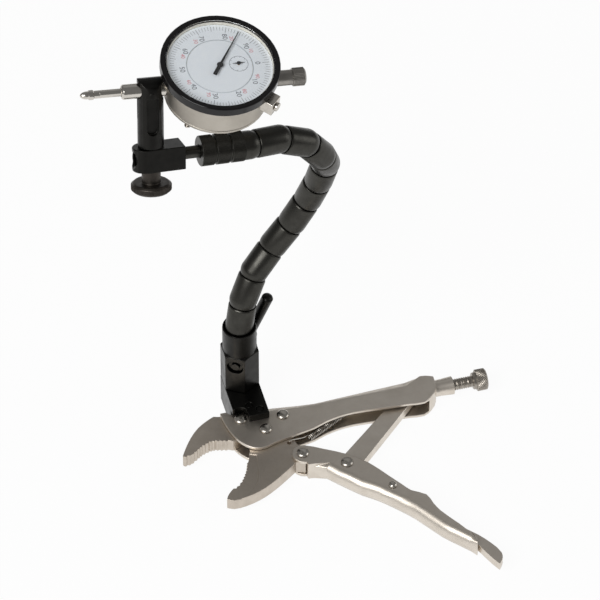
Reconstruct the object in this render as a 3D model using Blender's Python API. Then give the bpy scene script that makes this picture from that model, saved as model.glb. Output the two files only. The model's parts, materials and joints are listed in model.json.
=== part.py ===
"""Measuring stand: a dial indicator on a ball-jointed arm, carried by locking pliers.

The pliers lie flat, with their cheeks level. A bracket on the upper cheek holds an
upright hexagon housing. A chain of ball-and-cup links rises from the housing's collar
and curls over to a holder with the indicator. A steel cable runs through the links, and
a cam in the housing pulls it tight.

Origin: the foot of the bracket, under the housing's axis. +Z is up, and +X runs along
the upper handle towards the adjusting screw. Lengths are in metres.
"""

from math import acos, cos, degrees, hypot, pi, radians, sin, sqrt

import bmesh
import bpy
from mathutils import Matrix, Vector

for old in list(bpy.data.objects):
    bpy.data.objects.remove(old, do_unlink=True)

# Gaps and cuts shared by every piece
GAP = 0.0003
OVERRUN = 0.002
FULL_TURN = 2 * pi
CORNER_ANGLE = radians(40)

# Pliers: every plan place is a share of the pliers' length
PLIER_LENGTH = 0.200
PLIER_WIDTH = 0.0120
PLIER_BASE = 0.0020
CHEEK_WALL = 0.0018
FOLD_RADIUS = 0.0055
HANDLE_FOLD_RADIUS = 0.0045
JAW_EDGE_RADIUS = 0.0028
JAW_TOOTH_PITCH = 0.0022
JAW_TOOTH_DEPTH = 0.0007
RIVET_RADIUS = 0.0019
RIVET_HEAD_RADIUS = 0.0034
RIVET_HEAD_RISE = 0.0015
SMALL_RIVET_RADIUS = 0.0014
SMALL_RIVET_HEAD_RADIUS = 0.0023
PLIER_MIDDLE = PLIER_BASE + PLIER_WIDTH / 2
PLIER_TOP = PLIER_BASE + PLIER_WIDTH
INNER_LOW = PLIER_BASE + CHEEK_WALL
INNER_HIGH = PLIER_TOP - CHEEK_WALL

FIXED_RIVET_SHARES = [(-0.030, -0.121), (0.0855, -0.1345)]
JAW_PIVOT_SHARE = (0.0275, -0.1725)
HANDLE_PIVOT_SHARE = (0.102, -0.2825)
TOGGLE_PIVOT_SHARE = (0.209, -0.346)
RELEASE_PIVOT_SHARE = (0.3065, -0.4565)
TOGGLE_END_SHARE = (0.445, -0.1325)
SPRING_HOLE_SHARE = (0.078, -0.2290)

UPPER_BODY_SHARES = [
    (-0.079, -0.086), (-0.078, -0.105), (-0.073, -0.1375), (-0.063, -0.175), (-0.0465, -0.206),
    (-0.027, -0.2265), (-0.005, -0.235), (0.015, -0.234), (0.0375, -0.2265), (0.070, -0.219),
    (0.1175, -0.209), (0.1575, -0.201), (0.195, -0.187), (0.235, -0.178), (0.275, -0.175),
    (0.350, -0.180), (0.430, -0.185), (0.472, -0.1885), (0.498, -0.1725), (0.517, -0.146),
    (0.520, -0.104), (0.500, -0.096), (0.470, -0.093), (0.400, -0.095), (0.320, -0.098),
    (0.225, -0.1015), (0.180, -0.103), (0.095, -0.094), (0.040, -0.0875), (-0.0475, -0.086),
]
UPPER_BODY_FOLDED = range(22, 29)
BODY_ROOM_TOP_SHARES = [(-0.0475, -0.086), (0.095, -0.094), (0.180, -0.103), (0.320, -0.098), (0.470, -0.093)]
BODY_ROOM_END_SHARE = 0.488
BODY_OPEN_LEFT_SHARE = -0.100
BODY_OPEN_LOW_SHARE = -0.300
FOLD_START_SHARE = -0.0475

UPPER_JAW_BACK_SHARES = [
    (-0.200, -0.1785), (-0.176, -0.143), (-0.1475, -0.1125), (-0.1175, -0.093), (-0.0965, -0.083),
    (-0.081, -0.088), (-0.0515, -0.089), (-0.0495, -0.1005),
]
UPPER_JAW_TAIL_SHARES = [
    (0.112, -0.1115), (0.115, -0.1325), (0.1075, -0.1525), (0.0855, -0.1615), (0.066, -0.152),
    (0.0525, -0.1325), (0.030, -0.124), (0.005, -0.126), (-0.016, -0.1375), (-0.0275, -0.1575),
    (-0.0475, -0.1775), (-0.0675, -0.184),
]
UPPER_JAW_BITE_SHARES = [
    (-0.080, -0.1775), (-0.113, -0.169), (-0.130, -0.1695), (-0.152, -0.177), (-0.1675, -0.187),
    (-0.189, -0.202), (-0.2105, -0.2045),
]
UPPER_JAW_TIP_SHARE = (-0.212, -0.1995)

LOWER_JAW_NECK_SHARES = [(-0.0095, -0.1575), (-0.016, -0.1825), (-0.0325, -0.2275)]
LOWER_JAW_BITE_SHARES = [
    (-0.046, -0.265), (-0.056, -0.2935), (-0.066, -0.3115), (-0.078, -0.329), (-0.089, -0.3405),
    (-0.1005, -0.348), (-0.114, -0.351),
]
LOWER_JAW_BACK_SHARES = [
    (-0.129, -0.3675), (-0.135, -0.380), (-0.1165, -0.3885), (-0.0835, -0.387), (-0.0435, -0.3765),
    (-0.006, -0.359), (0.0295, -0.337), (0.0545, -0.3195), (0.078, -0.303), (0.102, -0.3125),
    (0.123, -0.304), (0.132, -0.2825), (0.119, -0.258), (0.0975, -0.2375), (0.095, -0.220),
    (0.079, -0.210), (0.066, -0.189), (0.067, -0.1675), (0.055, -0.1435), (0.0275, -0.1325),
    (0.003, -0.141),
]

LOWER_HANDLE_TOP_SHARES = [
    (0.075, -0.295), (0.073, -0.2775), (0.0825, -0.261), (0.0975, -0.2545), (0.115, -0.257),
    (0.157, -0.280), (0.2185, -0.318), (0.265, -0.361), (0.3065, -0.422), (0.332, -0.460),
    (0.3495, -0.486), (0.3855, -0.511), (0.3955, -0.547), (0.406, -0.575), (0.441, -0.632),
    (0.457, -0.660),
]
LOWER_HANDLE_BOTTOM_SHARES = [
    (0.4725, -0.692), (0.470, -0.7155), (0.431, -0.673), (0.391, -0.627), (0.339, -0.548),
    (0.301, -0.503), (0.262, -0.4625), (0.2235, -0.431), (0.172, -0.376), (0.123, -0.3285),
    (0.1065, -0.3265), (0.104, -0.3165), (0.0895, -0.3125),
]
LOWER_HANDLE_FOLDED = range(17, 25)
HANDLE_ROOM_SHARES = [
    (0.030, -0.200), (0.030, -0.3185), (0.1275, -0.3195), (0.1785, -0.3695), (0.2295, -0.4245),
    (0.2685, -0.4565), (0.308, -0.4975), (0.346, -0.5425), (0.398, -0.6215), (0.438, -0.6675),
    (0.520, -0.758), (0.560, -0.560), (0.350, -0.380), (0.200, -0.250),
]
HANDLE_ROOM_FOLDED = range(2, 10)

JAW_STEP_DEPTH = 0.0005
JAW_STEP_SHARES = [
    (-0.0175, -0.248), (-0.026, -0.294), (-0.0335, -0.327), (-0.0475, -0.3545), (-0.074, -0.3785),
    (-0.119, -0.398), (-0.170, -0.380), (-0.120, -0.300), (-0.060, -0.230),
]

TOGGLE_WIDTH = 0.0118
TOGGLE_THICK = 0.0056
TOGGLE_END_RADIUS = 0.0042
TOGGLE_END_STEPS = 6

RELEASE_THICK = 0.0052
RELEASE_LEVER_SHARES = [
    (0.268, -0.426), (0.290, -0.432), (0.318, -0.442), (0.334, -0.470), (0.393, -0.558),
    (0.440, -0.622), (0.483, -0.669), (0.510, -0.708), (0.527, -0.7465), (0.5245, -0.765),
    (0.511, -0.784), (0.499, -0.762), (0.486, -0.733), (0.469, -0.696), (0.440, -0.661),
    (0.396, -0.600), (0.346, -0.520), (0.302, -0.470), (0.268, -0.436),
]

# Adjusting screw, on the axis of the upper handle's tube
SCREW_AXIS_SHARE = -0.124
SCREW_TIP_SHARE = 0.4885
SCREW_HEAD_SHARE = 0.6265
SCREW_RADIUS = 0.00325
SCREW_HEAD_RADIUS = 0.0060
SCREW_HEAD_LENGTH = 0.0062
SCREW_FLANGE_RADIUS = 0.0047
SCREW_FLANGE_LENGTH = 0.0016
SCREW_HEAD_CHAMFER = 0.0007
SCREW_HOLE_RADIUS = 0.0017
TUBE_RADIUS = 0.0046
TUBE_FLARE_RADIUS = 0.0051
TUBE_FLARE_LENGTH = 0.0070
TUBE_START_SHARE = 0.490
TUBE_END_SHARE = 0.570

# Return spring between the lower jaw and the upper body
SPRING_COIL_RADIUS = 0.0017
SPRING_WIRE_RADIUS = 0.00035
SPRING_TURNS = 13
SPRING_POINTS_PER_TURN = 8
SPRING_START_SHARE = (0.140, -0.2080)
SPRING_END_SHARE = (0.262, -0.1430)
SPRING_EYE_RISE = 0.0016
SPRING_EYE_LOW_SHARE = 0.8
SPRING_EYE_LEAN_SHARE = 0.12
SPRING_LEAD_SHARE = 1.5
SPRING_HOLE_RADIUS = 0.0011

# Bracket and the hexagon housing above it
BRACKET_WIDTH = 0.0190
BRACKET_BACK = 0.0060
BRACKET_TOP = 0.0190
BRACKET_TONGUE_CLEARANCE = 0.0036
BRACKET_TONGUE_REACH = -JAW_PIVOT_SHARE[1] * PLIER_LENGTH - RIVET_HEAD_RADIUS - BRACKET_TONGUE_CLEARANCE
BRACKET_TONGUE_STEP = 0.0070
BRACKET_TONGUE_SHORT = BRACKET_TONGUE_REACH - BRACKET_TONGUE_STEP
BRACKET_NOTCH_RADIUS = 0.0042
BRACKET_BOSS_HEIGHT = 0.0080
BRACKET_FRONT_SHARE = -0.0840
BRACKET_SCREW_SPOTS_SHARES = [(0.0, -0.098), (0.025, -0.118)]
BRACKET_SCREW_RADIUS = 0.0011
BRACKET_SCREW_HEAD_RADIUS = 0.0018
BRACKET_SCREW_HEAD_DEPTH = 0.0012
HEX_ACROSS_FLATS = 0.0190
HEX_HEIGHT = 0.0260
HEX_CHAMFER = 0.0010
HEX_ROOM_RADIUS = 0.0065
COLLAR_RADIUS = 0.00935
COLLAR_HEIGHT = 0.0167
COLLAR_ROOM_DEPTH = 0.0036
COLLAR_CHAMFER = 0.0004
COLLAR_TILT = 22.0

# Cam that pulls the cable: its shaft lies across the housing
CAM_HEIGHT = 0.0188
CAM_HEADING = 60.0
CAM_SHAFT_RADIUS = 0.0042
CAM_LOBE_RADIUS = 0.0030
CAM_LOBE_OFFSET = 0.0010
CAM_LOBE_LENGTH = 0.0112
CAM_FRONT_DEPTH = 0.0016
CAM_BOSS_RADIUS = 0.0050
CAM_BOSS_LENGTH = 0.0086
CAM_SCREW_RADIUS = 0.0012
CAM_SCREW_LENGTH = 0.0040
CAM_SCREW_HEAD_RADIUS = 0.0024
CAM_SCREW_HEAD_LENGTH = 0.0009
CAM_TRAVEL = 0.0022
LEVER_RADIUS = 0.0032
LEVER_LENGTH = 0.0385
LEVER_TILT = 19.0
LEVER_SPIGOT_RADIUS = 0.0018
LEVER_SPIGOT_SEAT = 0.0012
PLUNGER_RADIUS = 0.0061
PLUNGER_FLOOR = 0.0090
PLUNGER_LENGTH = 0.0172
PLUNGER_CABLE_SEAT = 0.0026

# Arm: one ball joint every pitch, each link turned from round bar
LINK_PITCH = 0.0180
LINK_RADIUS = 0.00765
LINK_RIM_DROP = 0.0036
LINK_BORE_RADIUS = 0.0030
LINK_MOUTH_RADIUS = 0.0042
LINK_CHAMFER = 0.00035
LINK_SIDES = 20
CABLE_RADIUS = 0.0012
CABLE_CLEARANCE = 0.0009
CABLE_SAMPLES_PER_LINK = 3
# Heading from +X and rise above level of each link, in degrees, lowest link first
ARM_POSTURE = [
    (42, 76), (31, 61), (19, 47), (4, 53), (-2, 61), (-42, 70), (-65, 72), (-120, 58),
    (-160, 56), (-170, 31), (-167, 13),
]
FITTING_HEADING_AND_RISE = (182, 7)
FITTING_LENGTH = 0.0270
FITTING_BAND_RADIUS = 0.0079
FITTING_GROOVE_RADIUS = 0.0070
FITTING_GROOVE_WIDTH = 0.0010
FITTING_SHOULDER = 0.0035
FITTING_ROD_SEAT = 0.0100
FITTING_CABLE_END = 0.0080

# Holder: rod, clamp block, post and knob
ROD_RADIUS = 0.0033
ROD_SHOWN = 0.0090
ROD_INSERT = 0.0120
BLOCK_WIDTH = 0.0127
BLOCK_LENGTH = 0.0270
BLOCK_POST_SETBACK = 0.0100
BLOCK_ROLL = 22.0
BLOCK_COUNTERSINK = 0.0014
POST_RADIUS = 0.00685
POST_HEIGHT = 0.0375
POST_YAW = -5.0
EYE_RADIUS = 0.0066
POST_STUD_RADIUS = 0.0030
POST_SLOT_WIDTH = 0.0060
POST_SLOT_DEPTH = 0.0022
POST_SLOT_TOP = 0.0030
POST_SLOT_LENGTH = 0.0200
POST_SLIT_WIDTH = 0.0012
POST_SLIT_LENGTH = 0.0150
KNOB_NECK_RADIUS = 0.0050
KNOB_NECK_LENGTH = 0.0070
KNOB_RADIUS = 0.0105
KNOB_LENGTH = 0.0050
KNOB_ROUNDING = 0.0012
KNOB_THREAD_DEPTH = 0.0100

# Dial indicator: heights count from the spindle's axis, along the dial's normal
INDICATOR_ROLL = -30.3
CASE_RADIUS = 0.02725
CASE_STANDOFF = 0.00795
CASE_SETBACK = CASE_RADIUS + CASE_STANDOFF
CASE_WALL = 0.0032
CASE_BACK = -0.0050
CASE_FRONT = 0.0129
BACK_COVER_THICK = 0.0027
BACK_COVER_CHAMFER = 0.0011
BACK_SCREW_RADIUS = 0.0009
BACK_SCREW_HEAD_RADIUS = 0.0017
BACK_SCREW_LENGTH = 0.0060
BACK_SCREW_COUNT = 3
STEM_RADIUS = 0.0040
STEM_LENGTH = 0.02325
STEM_TIP = CASE_RADIUS + STEM_LENGTH
STEM_SPIGOT_RADIUS = 0.0032
SPINDLE_RADIUS = 0.0021
SPINDLE_SHOWN = 0.0115
SPINDLE_TIP = STEM_TIP + SPINDLE_SHOWN
SPINDLE_TAIL_SHOWN = 0.00675
SPINDLE_TAIL = CASE_RADIUS + SPINDLE_TAIL_SHOWN
SPINDLE_TRAVEL = 0.0100
SPINDLE_ARM_PLACE = 0.0080
SPINDLE_ARM_REACH = 0.0105
SPINDLE_ARM_THICK = 0.0016
SPINDLE_ARM_HALF = 0.0014
RACK_BEHIND = 0.0150
RACK_AHEAD = 0.0050
CONTACT_LENGTH = 0.0100
CONTACT_SHANK_LENGTH = 0.0060
CONTACT_RADIUS = 0.0026
CONTACT_BALL_RADIUS = 0.0015
CONTACT_SPIGOT_RADIUS = 0.0010
CONTACT_SPIGOT_LENGTH = 0.0030
CAP_RADIUS = 0.0041
CAP_END_RADIUS = 0.0047
CAP_LENGTH = 0.0190
CAP_END_LENGTH = 0.0070
CAP_END_WALL = 0.0015
BEZEL_OVERHANG = 0.0039
BEZEL_RADIUS = CASE_RADIUS + BEZEL_OVERHANG
BEZEL_SKIRT = 0.0007
BEZEL_LOW = CASE_FRONT - BEZEL_SKIRT
BEZEL_HEIGHT = 0.0057
BEZEL_TOP = BEZEL_LOW + BEZEL_HEIGHT
BEZEL_WALL = 0.0035
BEZEL_INNER_RADIUS = BEZEL_RADIUS - BEZEL_WALL
BEZEL_LIP = 0.0003
BEZEL_CHAMFER = 0.0005
CRYSTAL_LEDGE = 0.0004
CRYSTAL_RADIUS = BEZEL_INNER_RADIUS + CRYSTAL_LEDGE
CRYSTAL_THICK = 0.0009
CRYSTAL_RISE = 0.0033
CRYSTAL_SEAT = CASE_FRONT + CRYSTAL_RISE
DIAL_RADIUS = BEZEL_INNER_RADIUS - GAP
DIAL_SCALE_WIDTH = 0.0102
DIAL_SPLIT_RADIUS = DIAL_RADIUS - DIAL_SCALE_WIDTH
DIAL_THICK = 0.0006
PLATE_CLEARANCE = 0.00035
PLATE_RADIUS = CASE_RADIUS - CASE_WALL - PLATE_CLEARANCE
PLATE_LOW = 0.0028
PLATE_THICK = 0.0012
ARBOR_RADIUS = 0.0006
COUNTER_OFFSET = 0.0100
COUNTER_SIDE = 0.0006
GEAR_RADIUS = 0.0088
GEAR_LOW = 0.0046
GEAR_THICK = 0.0008
PINION_RADIUS = 0.0009
RACK_PINION_RADIUS = 0.0013
RACK_FLAT = RACK_PINION_RADIUS + GAP - COUNTER_SIDE
HAND_THICK = 0.0003
HAND_RISE = 0.0005
POINTER_MARGIN = 0.0029
POINTER_REACH = DIAL_RADIUS - POINTER_MARGIN
POINTER_TAIL = 0.0073
POINTER_WIDTH = 0.0012
POINTER_TAIL_WIDTH = 0.0020
POINTER_HUB_RADIUS = 0.0017
POINTER_HEADING = -124.0
COUNTER_HAND_REACH = 0.0034
COUNTER_HAND_TAIL = 0.0014
COUNTER_HAND_WIDTH = 0.0007
COUNTER_HUB_RADIUS = 0.0009
COUNTER_HEADING = 180.0
HAND_SPACING = 0.0004
TURNED_CHAMFER = 0.0009
CLAMP_BEARING = 137.0
CLAMP_LENGTH = 0.0080
CLAMP_REACH = 0.0075
CLAMP_HEIGHT = 0.0082
CLAMP_LOW = BEZEL_LOW - GAP - CLAMP_HEIGHT
CLAMP_SCREW_RADIUS = 0.0012
CLAMP_SCREW_HEAD_RADIUS = 0.0024
CLAMP_SCREW_HEAD_RISE = 0.0012
RETURN_SPRING_RADIUS = 0.0015


# Finishes
def to_linear(channel):
    """Turn one sRGB channel, 0 to 1, into a linear one."""
    return channel / 12.92 if channel <= 0.04045 else ((channel + 0.055) / 1.055) ** 2.4


def finish(name, red, green, blue, roughness, metallic, alpha=1.0):
    """A Principled material with an sRGB colour of 0 to 255."""
    made = bpy.data.materials.new(name)
    made.use_nodes = True
    shader = made.node_tree.nodes["Principled BSDF"]
    colour = [to_linear(channel / 255) for channel in (red, green, blue)] + [1.0]
    shader.inputs["Base Color"].default_value = colour
    shader.inputs["Roughness"].default_value = roughness
    shader.inputs["Metallic"].default_value = metallic
    shader.inputs["Alpha"].default_value = alpha
    made.diffuse_color = colour
    return made


FINISHES = {
    "nickel": (150, 142, 134, 0.38, 1.0),
    "bright": (205, 202, 196, 0.2, 1.0),
    "black_oxide": (38, 38, 42, 0.42, 0.6),
    "satin_case": (150, 147, 138, 0.4, 1.0),
    "black_gloss": (18, 18, 22, 0.18, 0.0),
    "dial_white": (226, 234, 244, 0.5, 0.0),
    "clear": (235, 240, 245, 0.05, 0.0, 0.3),
    "brass": (176, 148, 88, 0.35, 1.0),
    "cable_steel": (120, 120, 122, 0.4, 1.0),
}


# Making meshes
def share_point(share):
    """A plan place on the pliers, from its shares of their length."""
    return (share[0] * PLIER_LENGTH, share[1] * PLIER_LENGTH)


def share_points(shares):
    return [share_point(share) for share in shares]


def mesh_from(bm, name):
    bmesh.ops.recalc_face_normals(bm, faces=bm.faces)
    made = bpy.data.meshes.new(name)
    bm.to_mesh(made)
    bm.free()
    return made


def turned(name, profile, sides=24, hollow=False):
    """Turn a profile of (radius, height) points about Z; a hollow one closes on itself."""
    bm = bmesh.new()
    rings = []
    for radius, height in profile:
        steps = sides if radius > 0 else 1
        rings.append([
            bm.verts.new((radius * cos(FULL_TURN * i / sides), radius * sin(FULL_TURN * i / sides), height))
            for i in range(steps)
        ])
    pairs = list(zip(rings, rings[1:]))
    if hollow:
        pairs.append((rings[-1], rings[0]))
    for low, high in pairs:
        for i in range(sides):
            after = (i + 1) % sides
            corners = [low[i % len(low)], low[after % len(low)], high[after % len(high)], high[i % len(high)]]
            bm.faces.new(list(dict.fromkeys(corners)))
    if not hollow:
        for ring in (rings[0], rings[-1]):
            if len(ring) > 1:
                bm.faces.new(ring)
    return mesh_from(bm, name)


def prism(name, outline, low, high, folded=(), radius=0.0, steps=2):
    """Extrude a plan outline from low to high; folded sides get rounded long edges."""
    bm = bmesh.new()
    bottom = [bm.verts.new((x, y, low)) for x, y in outline]
    top = [bm.verts.new((x, y, high)) for x, y in outline]
    bm.faces.new(bottom)
    bm.faces.new(top)
    count = len(outline)
    for i in range(count):
        after = (i + 1) % count
        bm.faces.new((bottom[i], bottom[after], top[after], top[i]))
    bmesh.ops.recalc_face_normals(bm, faces=bm.faces)
    if folded:
        rounded = []
        for i in folded:
            after = (i + 1) % count
            rounded.append(bm.edges.get((bottom[i], bottom[after])))
            rounded.append(bm.edges.get((top[i], top[after])))
        bmesh.ops.bevel(bm, geom=rounded, offset=radius, segments=steps, profile=0.5, affect="EDGES")
    return mesh_from(bm, name)


def eased(points):
    """Round an outline by a middle point on each side of a gentle bend; also gives each old side's new sides."""
    count = len(points)
    flat = [Vector(point) for point in points]
    sides = [flat[(i + 1) % count] - flat[i] for i in range(count)]
    sharp = [abs(sides[i - 1].angle_signed(sides[i])) > CORNER_ANGLE for i in range(count)]
    outline, spans = [], []
    for i in range(count):
        after = (i + 1) % count
        first = len(outline)
        outline.append(tuple(flat[i]))
        if not (sharp[i] and sharp[after]):
            length = sides[i].length
            start = sides[i] if sharp[i] else (sides[i - 1].normalized() + sides[i].normalized()).normalized() * length
            end = sides[i] if sharp[after] else (sides[i].normalized() + sides[after].normalized()).normalized() * length
            outline.append(tuple((flat[i] + flat[after]) / 2 + (start - end) / 8))
        spans.append(range(first, len(outline)))
    return outline, spans


def eased_prism(name, outline, low, high, folded=(), radius=0.0):
    """A prism of an eased outline, with the folded sides given by their numbers before easing."""
    outline, spans = eased(outline)
    return prism(name, outline, low, high, [k for i in folded for k in spans[i]], radius)


def block(name, x_span, y_span, z_span):
    outline = [(x_span[0], y_span[0]), (x_span[1], y_span[0]), (x_span[1], y_span[1]), (x_span[0], y_span[1])]
    return prism(name, outline, z_span[0], z_span[1])


def cylinder(name, radius, low, high, sides=24):
    return turned(name, [(radius, low), (radius, high)], sides)


def toothed(points, pitch, depth):
    """Replace each run of an outline by teeth that stand out on its left side."""
    teeth = []
    for (ax, ay), (bx, by) in zip(points, points[1:]):
        length = hypot(bx - ax, by - ay)
        count = max(1, round(length / pitch))
        out_x, out_y = -(by - ay) / length * depth, (bx - ax) / length * depth
        for i in range(count):
            start, crest = i / count, (i + 0.5) / count
            teeth.append((ax + (bx - ax) * start, ay + (by - ay) * start))
            teeth.append((ax + (bx - ax) * crest + out_x, ay + (by - ay) * crest + out_y))
    teeth.append(points[-1])
    return teeth


def arc(centre, radius, start, end, steps):
    """Points on a plan arc, from one heading to another in degrees."""
    return [
        (centre[0] + radius * cos(radians(start + (end - start) * i / steps)),
         centre[1] + radius * sin(radians(start + (end - start) * i / steps)))
        for i in range(steps + 1)
    ]


# Placing objects
def axis_frame(point, along, side=Vector((0, 0, 1))):
    """A frame at a point whose Z runs along one direction and whose X leans to a side."""
    z_axis = Vector(along).normalized()
    x_axis = (side - side.dot(z_axis) * z_axis).normalized()
    y_axis = z_axis.cross(x_axis)
    turn = Matrix((x_axis, y_axis, z_axis)).transposed().to_4x4()
    return Matrix.Translation(point) @ turn


def add_piece(name, mesh, kind, frame=Matrix(), moved=True, smooth=True):
    """Add a named piece; its origin is the frame's, and moved says if its mesh is in that frame."""
    if not moved:
        mesh.transform(frame.inverted())
    piece = bpy.data.objects.new(name, mesh)
    bpy.context.scene.collection.objects.link(piece)
    piece.matrix_world = frame
    mesh.materials.clear()
    mesh.materials.append(finish(name, *FINISHES[kind]))
    if smooth:
        mesh.shade_smooth()
        mesh.set_sharp_from_angle(angle=radians(35))
    return piece


def cutter(piece, mesh, frame=Matrix(), operation="DIFFERENCE"):
    """Cut a piece with a mesh, or join the mesh to it, by a Boolean modifier."""
    tool = bpy.data.objects.new(piece.name + "_tool", mesh)
    bpy.context.scene.collection.objects.link(tool)
    tool.matrix_world = frame
    tool.hide_render = True
    tool.display_type = "WIRE"
    change = piece.modifiers.new(operation.lower(), "BOOLEAN")
    change.operation = operation
    change.solver = "EXACT"
    change.object = tool


def upright(share, height=0.0):
    """A frame with Z up at a plan place on the pliers."""
    x, y = share_point(share)
    return Matrix.Translation((x, y, height))


# Pliers
def make_upper_body():
    """One sheet folded over at the top: two cheeks, a web and the tube for the screw."""
    body = add_piece(
        "upper_body",
        eased_prism("upper_body", share_points(UPPER_BODY_SHARES), PLIER_BASE, PLIER_TOP, UPPER_BODY_FOLDED, FOLD_RADIUS),
        "nickel")
    for share in FIXED_RIVET_SHARES + [JAW_PIVOT_SHARE]:
        hole = cylinder("rivet_hole", RIVET_RADIUS + GAP, PLIER_BASE - OVERRUN, PLIER_TOP + OVERRUN, 12)
        cutter(body, hole, upright(share))
    for share in BRACKET_SCREW_SPOTS_SHARES:
        hole = cylinder("screw_hole", BRACKET_SCREW_RADIUS + GAP, INNER_HIGH - OVERRUN, PLIER_TOP + OVERRUN, 12)
        cutter(body, hole, upright(share))
    axis_y = SCREW_AXIS_SHARE * PLIER_LENGTH
    start, end = TUBE_START_SHARE * PLIER_LENGTH, TUBE_END_SHARE * PLIER_LENGTH
    along_handle = axis_frame((0, axis_y, PLIER_MIDDLE), (1, 0, 0))
    tube = [(TUBE_RADIUS, start), (TUBE_RADIUS, end - TUBE_FLARE_LENGTH), (TUBE_FLARE_RADIUS, end)]
    cutter(body, turned("tube", tube), along_handle, "UNION")

    top = [(x, y - CHEEK_WALL) for x, y in share_points(BODY_ROOM_TOP_SHARES)]
    left, low = BODY_OPEN_LEFT_SHARE * PLIER_LENGTH, BODY_OPEN_LOW_SHARE * PLIER_LENGTH
    right = BODY_ROOM_END_SHARE * PLIER_LENGTH
    fold_start = FOLD_START_SHARE * PLIER_LENGTH
    room = [(left, low), (right, low), (right, top[-1][1])] + top[::-1] + [(fold_start, OVERRUN), (left, OVERRUN)]
    cutter(body, prism("room", room, INNER_LOW, INNER_HIGH, range(2, 2 + len(top)), FOLD_RADIUS - CHEEK_WALL))
    screw_bore = cylinder("screw_bore", SCREW_RADIUS + GAP, right - OVERRUN, end + OVERRUN)
    cutter(body, screw_bore, along_handle)


def make_upper_jaw():
    """The fixed jaw: a plate between the cheeks, with a toothed bite."""
    bite = toothed(share_points(UPPER_JAW_BITE_SHARES)[::-1], JAW_TOOTH_PITCH, -JAW_TOOTH_DEPTH)[::-1]
    outline = share_points(UPPER_JAW_BACK_SHARES) + share_points(UPPER_JAW_TAIL_SHARES)
    outline += bite + [share_point(UPPER_JAW_TIP_SHARE)]
    low, high = INNER_LOW + GAP, INNER_HIGH - GAP
    inside = range(len(UPPER_JAW_BACK_SHARES) - 1, len(UPPER_JAW_BACK_SHARES))
    jaw = add_piece("upper_jaw", eased_prism("upper_jaw", outline, low, high, inside, JAW_EDGE_RADIUS), "nickel",
                    smooth=False)
    for share in FIXED_RIVET_SHARES:
        hole = cylinder("rivet_hole", RIVET_RADIUS + GAP, low - OVERRUN, high + OVERRUN, 12)
        cutter(jaw, hole, upright(share))


def make_lower_jaw():
    """The moving jaw, with its pivot, the handle's pivot and the spring's hole."""
    bite = toothed(share_points(LOWER_JAW_BITE_SHARES), JAW_TOOTH_PITCH, -JAW_TOOTH_DEPTH)
    outline = share_points(LOWER_JAW_NECK_SHARES) + bite + share_points(LOWER_JAW_BACK_SHARES)
    low, high = INNER_LOW + GAP, INNER_HIGH - GAP
    mesh = eased_prism("lower_jaw", outline, low, high)
    jaw = add_piece("lower_jaw", mesh, "nickel", upright(JAW_PIVOT_SHARE), moved=False, smooth=False)
    for share in (JAW_PIVOT_SHARE, HANDLE_PIVOT_SHARE):
        hole = cylinder("rivet_hole", RIVET_RADIUS + GAP, low - OVERRUN, high + OVERRUN, 12)
        cutter(jaw, hole, upright(share))
    spring_hole = cylinder("spring_hole", SPRING_HOLE_RADIUS, low - OVERRUN, high + OVERRUN, 12)
    cutter(jaw, spring_hole, upright(SPRING_HOLE_SHARE))
    cutter(jaw, prism("step", share_points(JAW_STEP_SHARES), high - JAW_STEP_DEPTH, high + OVERRUN))


def make_lower_handle():
    """A folded channel, open towards the upper handle."""
    outline = share_points(LOWER_HANDLE_TOP_SHARES) + share_points(LOWER_HANDLE_BOTTOM_SHARES)
    mesh = eased_prism("lower_handle", outline, PLIER_BASE, PLIER_TOP, LOWER_HANDLE_FOLDED, HANDLE_FOLD_RADIUS)
    handle = add_piece("lower_handle", mesh, "nickel", upright(HANDLE_PIVOT_SHARE), moved=False)
    cutter(handle, prism("room", share_points(HANDLE_ROOM_SHARES), INNER_LOW, INNER_HIGH,
                         HANDLE_ROOM_FOLDED, HANDLE_FOLD_RADIUS - CHEEK_WALL))
    for share, radius in ((HANDLE_PIVOT_SHARE, RIVET_RADIUS), (TOGGLE_PIVOT_SHARE, RIVET_RADIUS),
                          (RELEASE_PIVOT_SHARE, SMALL_RIVET_RADIUS)):
        hole = cylinder("rivet_hole", radius + GAP, PLIER_BASE - OVERRUN, PLIER_TOP + OVERRUN, 12)
        cutter(handle, hole, upright(share))


def strut(name, start, end, radius, low, high):
    """A flat bar with round ends from one plan point to another."""
    heading = degrees(Vector((end[0] - start[0], end[1] - start[1])).angle_signed(Vector((1, 0))))
    outline = arc(start, radius, heading + 90, heading + 270, TOGGLE_END_STEPS)
    return prism(name, outline + arc(end, TOGGLE_END_RADIUS, heading - 90, heading + 90, TOGGLE_END_STEPS), low, high)


def make_toggle_link():
    start, end = share_point(TOGGLE_PIVOT_SHARE), share_point(TOGGLE_END_SHARE)
    low, high = PLIER_MIDDLE - TOGGLE_THICK / 2, PLIER_MIDDLE + TOGGLE_THICK / 2
    mesh = strut("toggle_link", start, end, TOGGLE_WIDTH / 2, low, high)
    link = add_piece("toggle_link", mesh, "nickel", upright(TOGGLE_PIVOT_SHARE), moved=False)
    hole = cylinder("rivet_hole", RIVET_RADIUS + GAP, low - OVERRUN, high + OVERRUN, 12)
    cutter(link, hole, upright(TOGGLE_PIVOT_SHARE))


def make_release_lever():
    low, high = PLIER_MIDDLE - RELEASE_THICK / 2, PLIER_MIDDLE + RELEASE_THICK / 2
    mesh = eased_prism("release_lever", share_points(RELEASE_LEVER_SHARES), low, high)
    lever = add_piece("release_lever", mesh, "nickel", upright(RELEASE_PIVOT_SHARE), moved=False)
    hole = cylinder("rivet_hole", SMALL_RIVET_RADIUS + GAP, low - OVERRUN, high + OVERRUN, 12)
    cutter(lever, hole, upright(RELEASE_PIVOT_SHARE))


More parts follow.
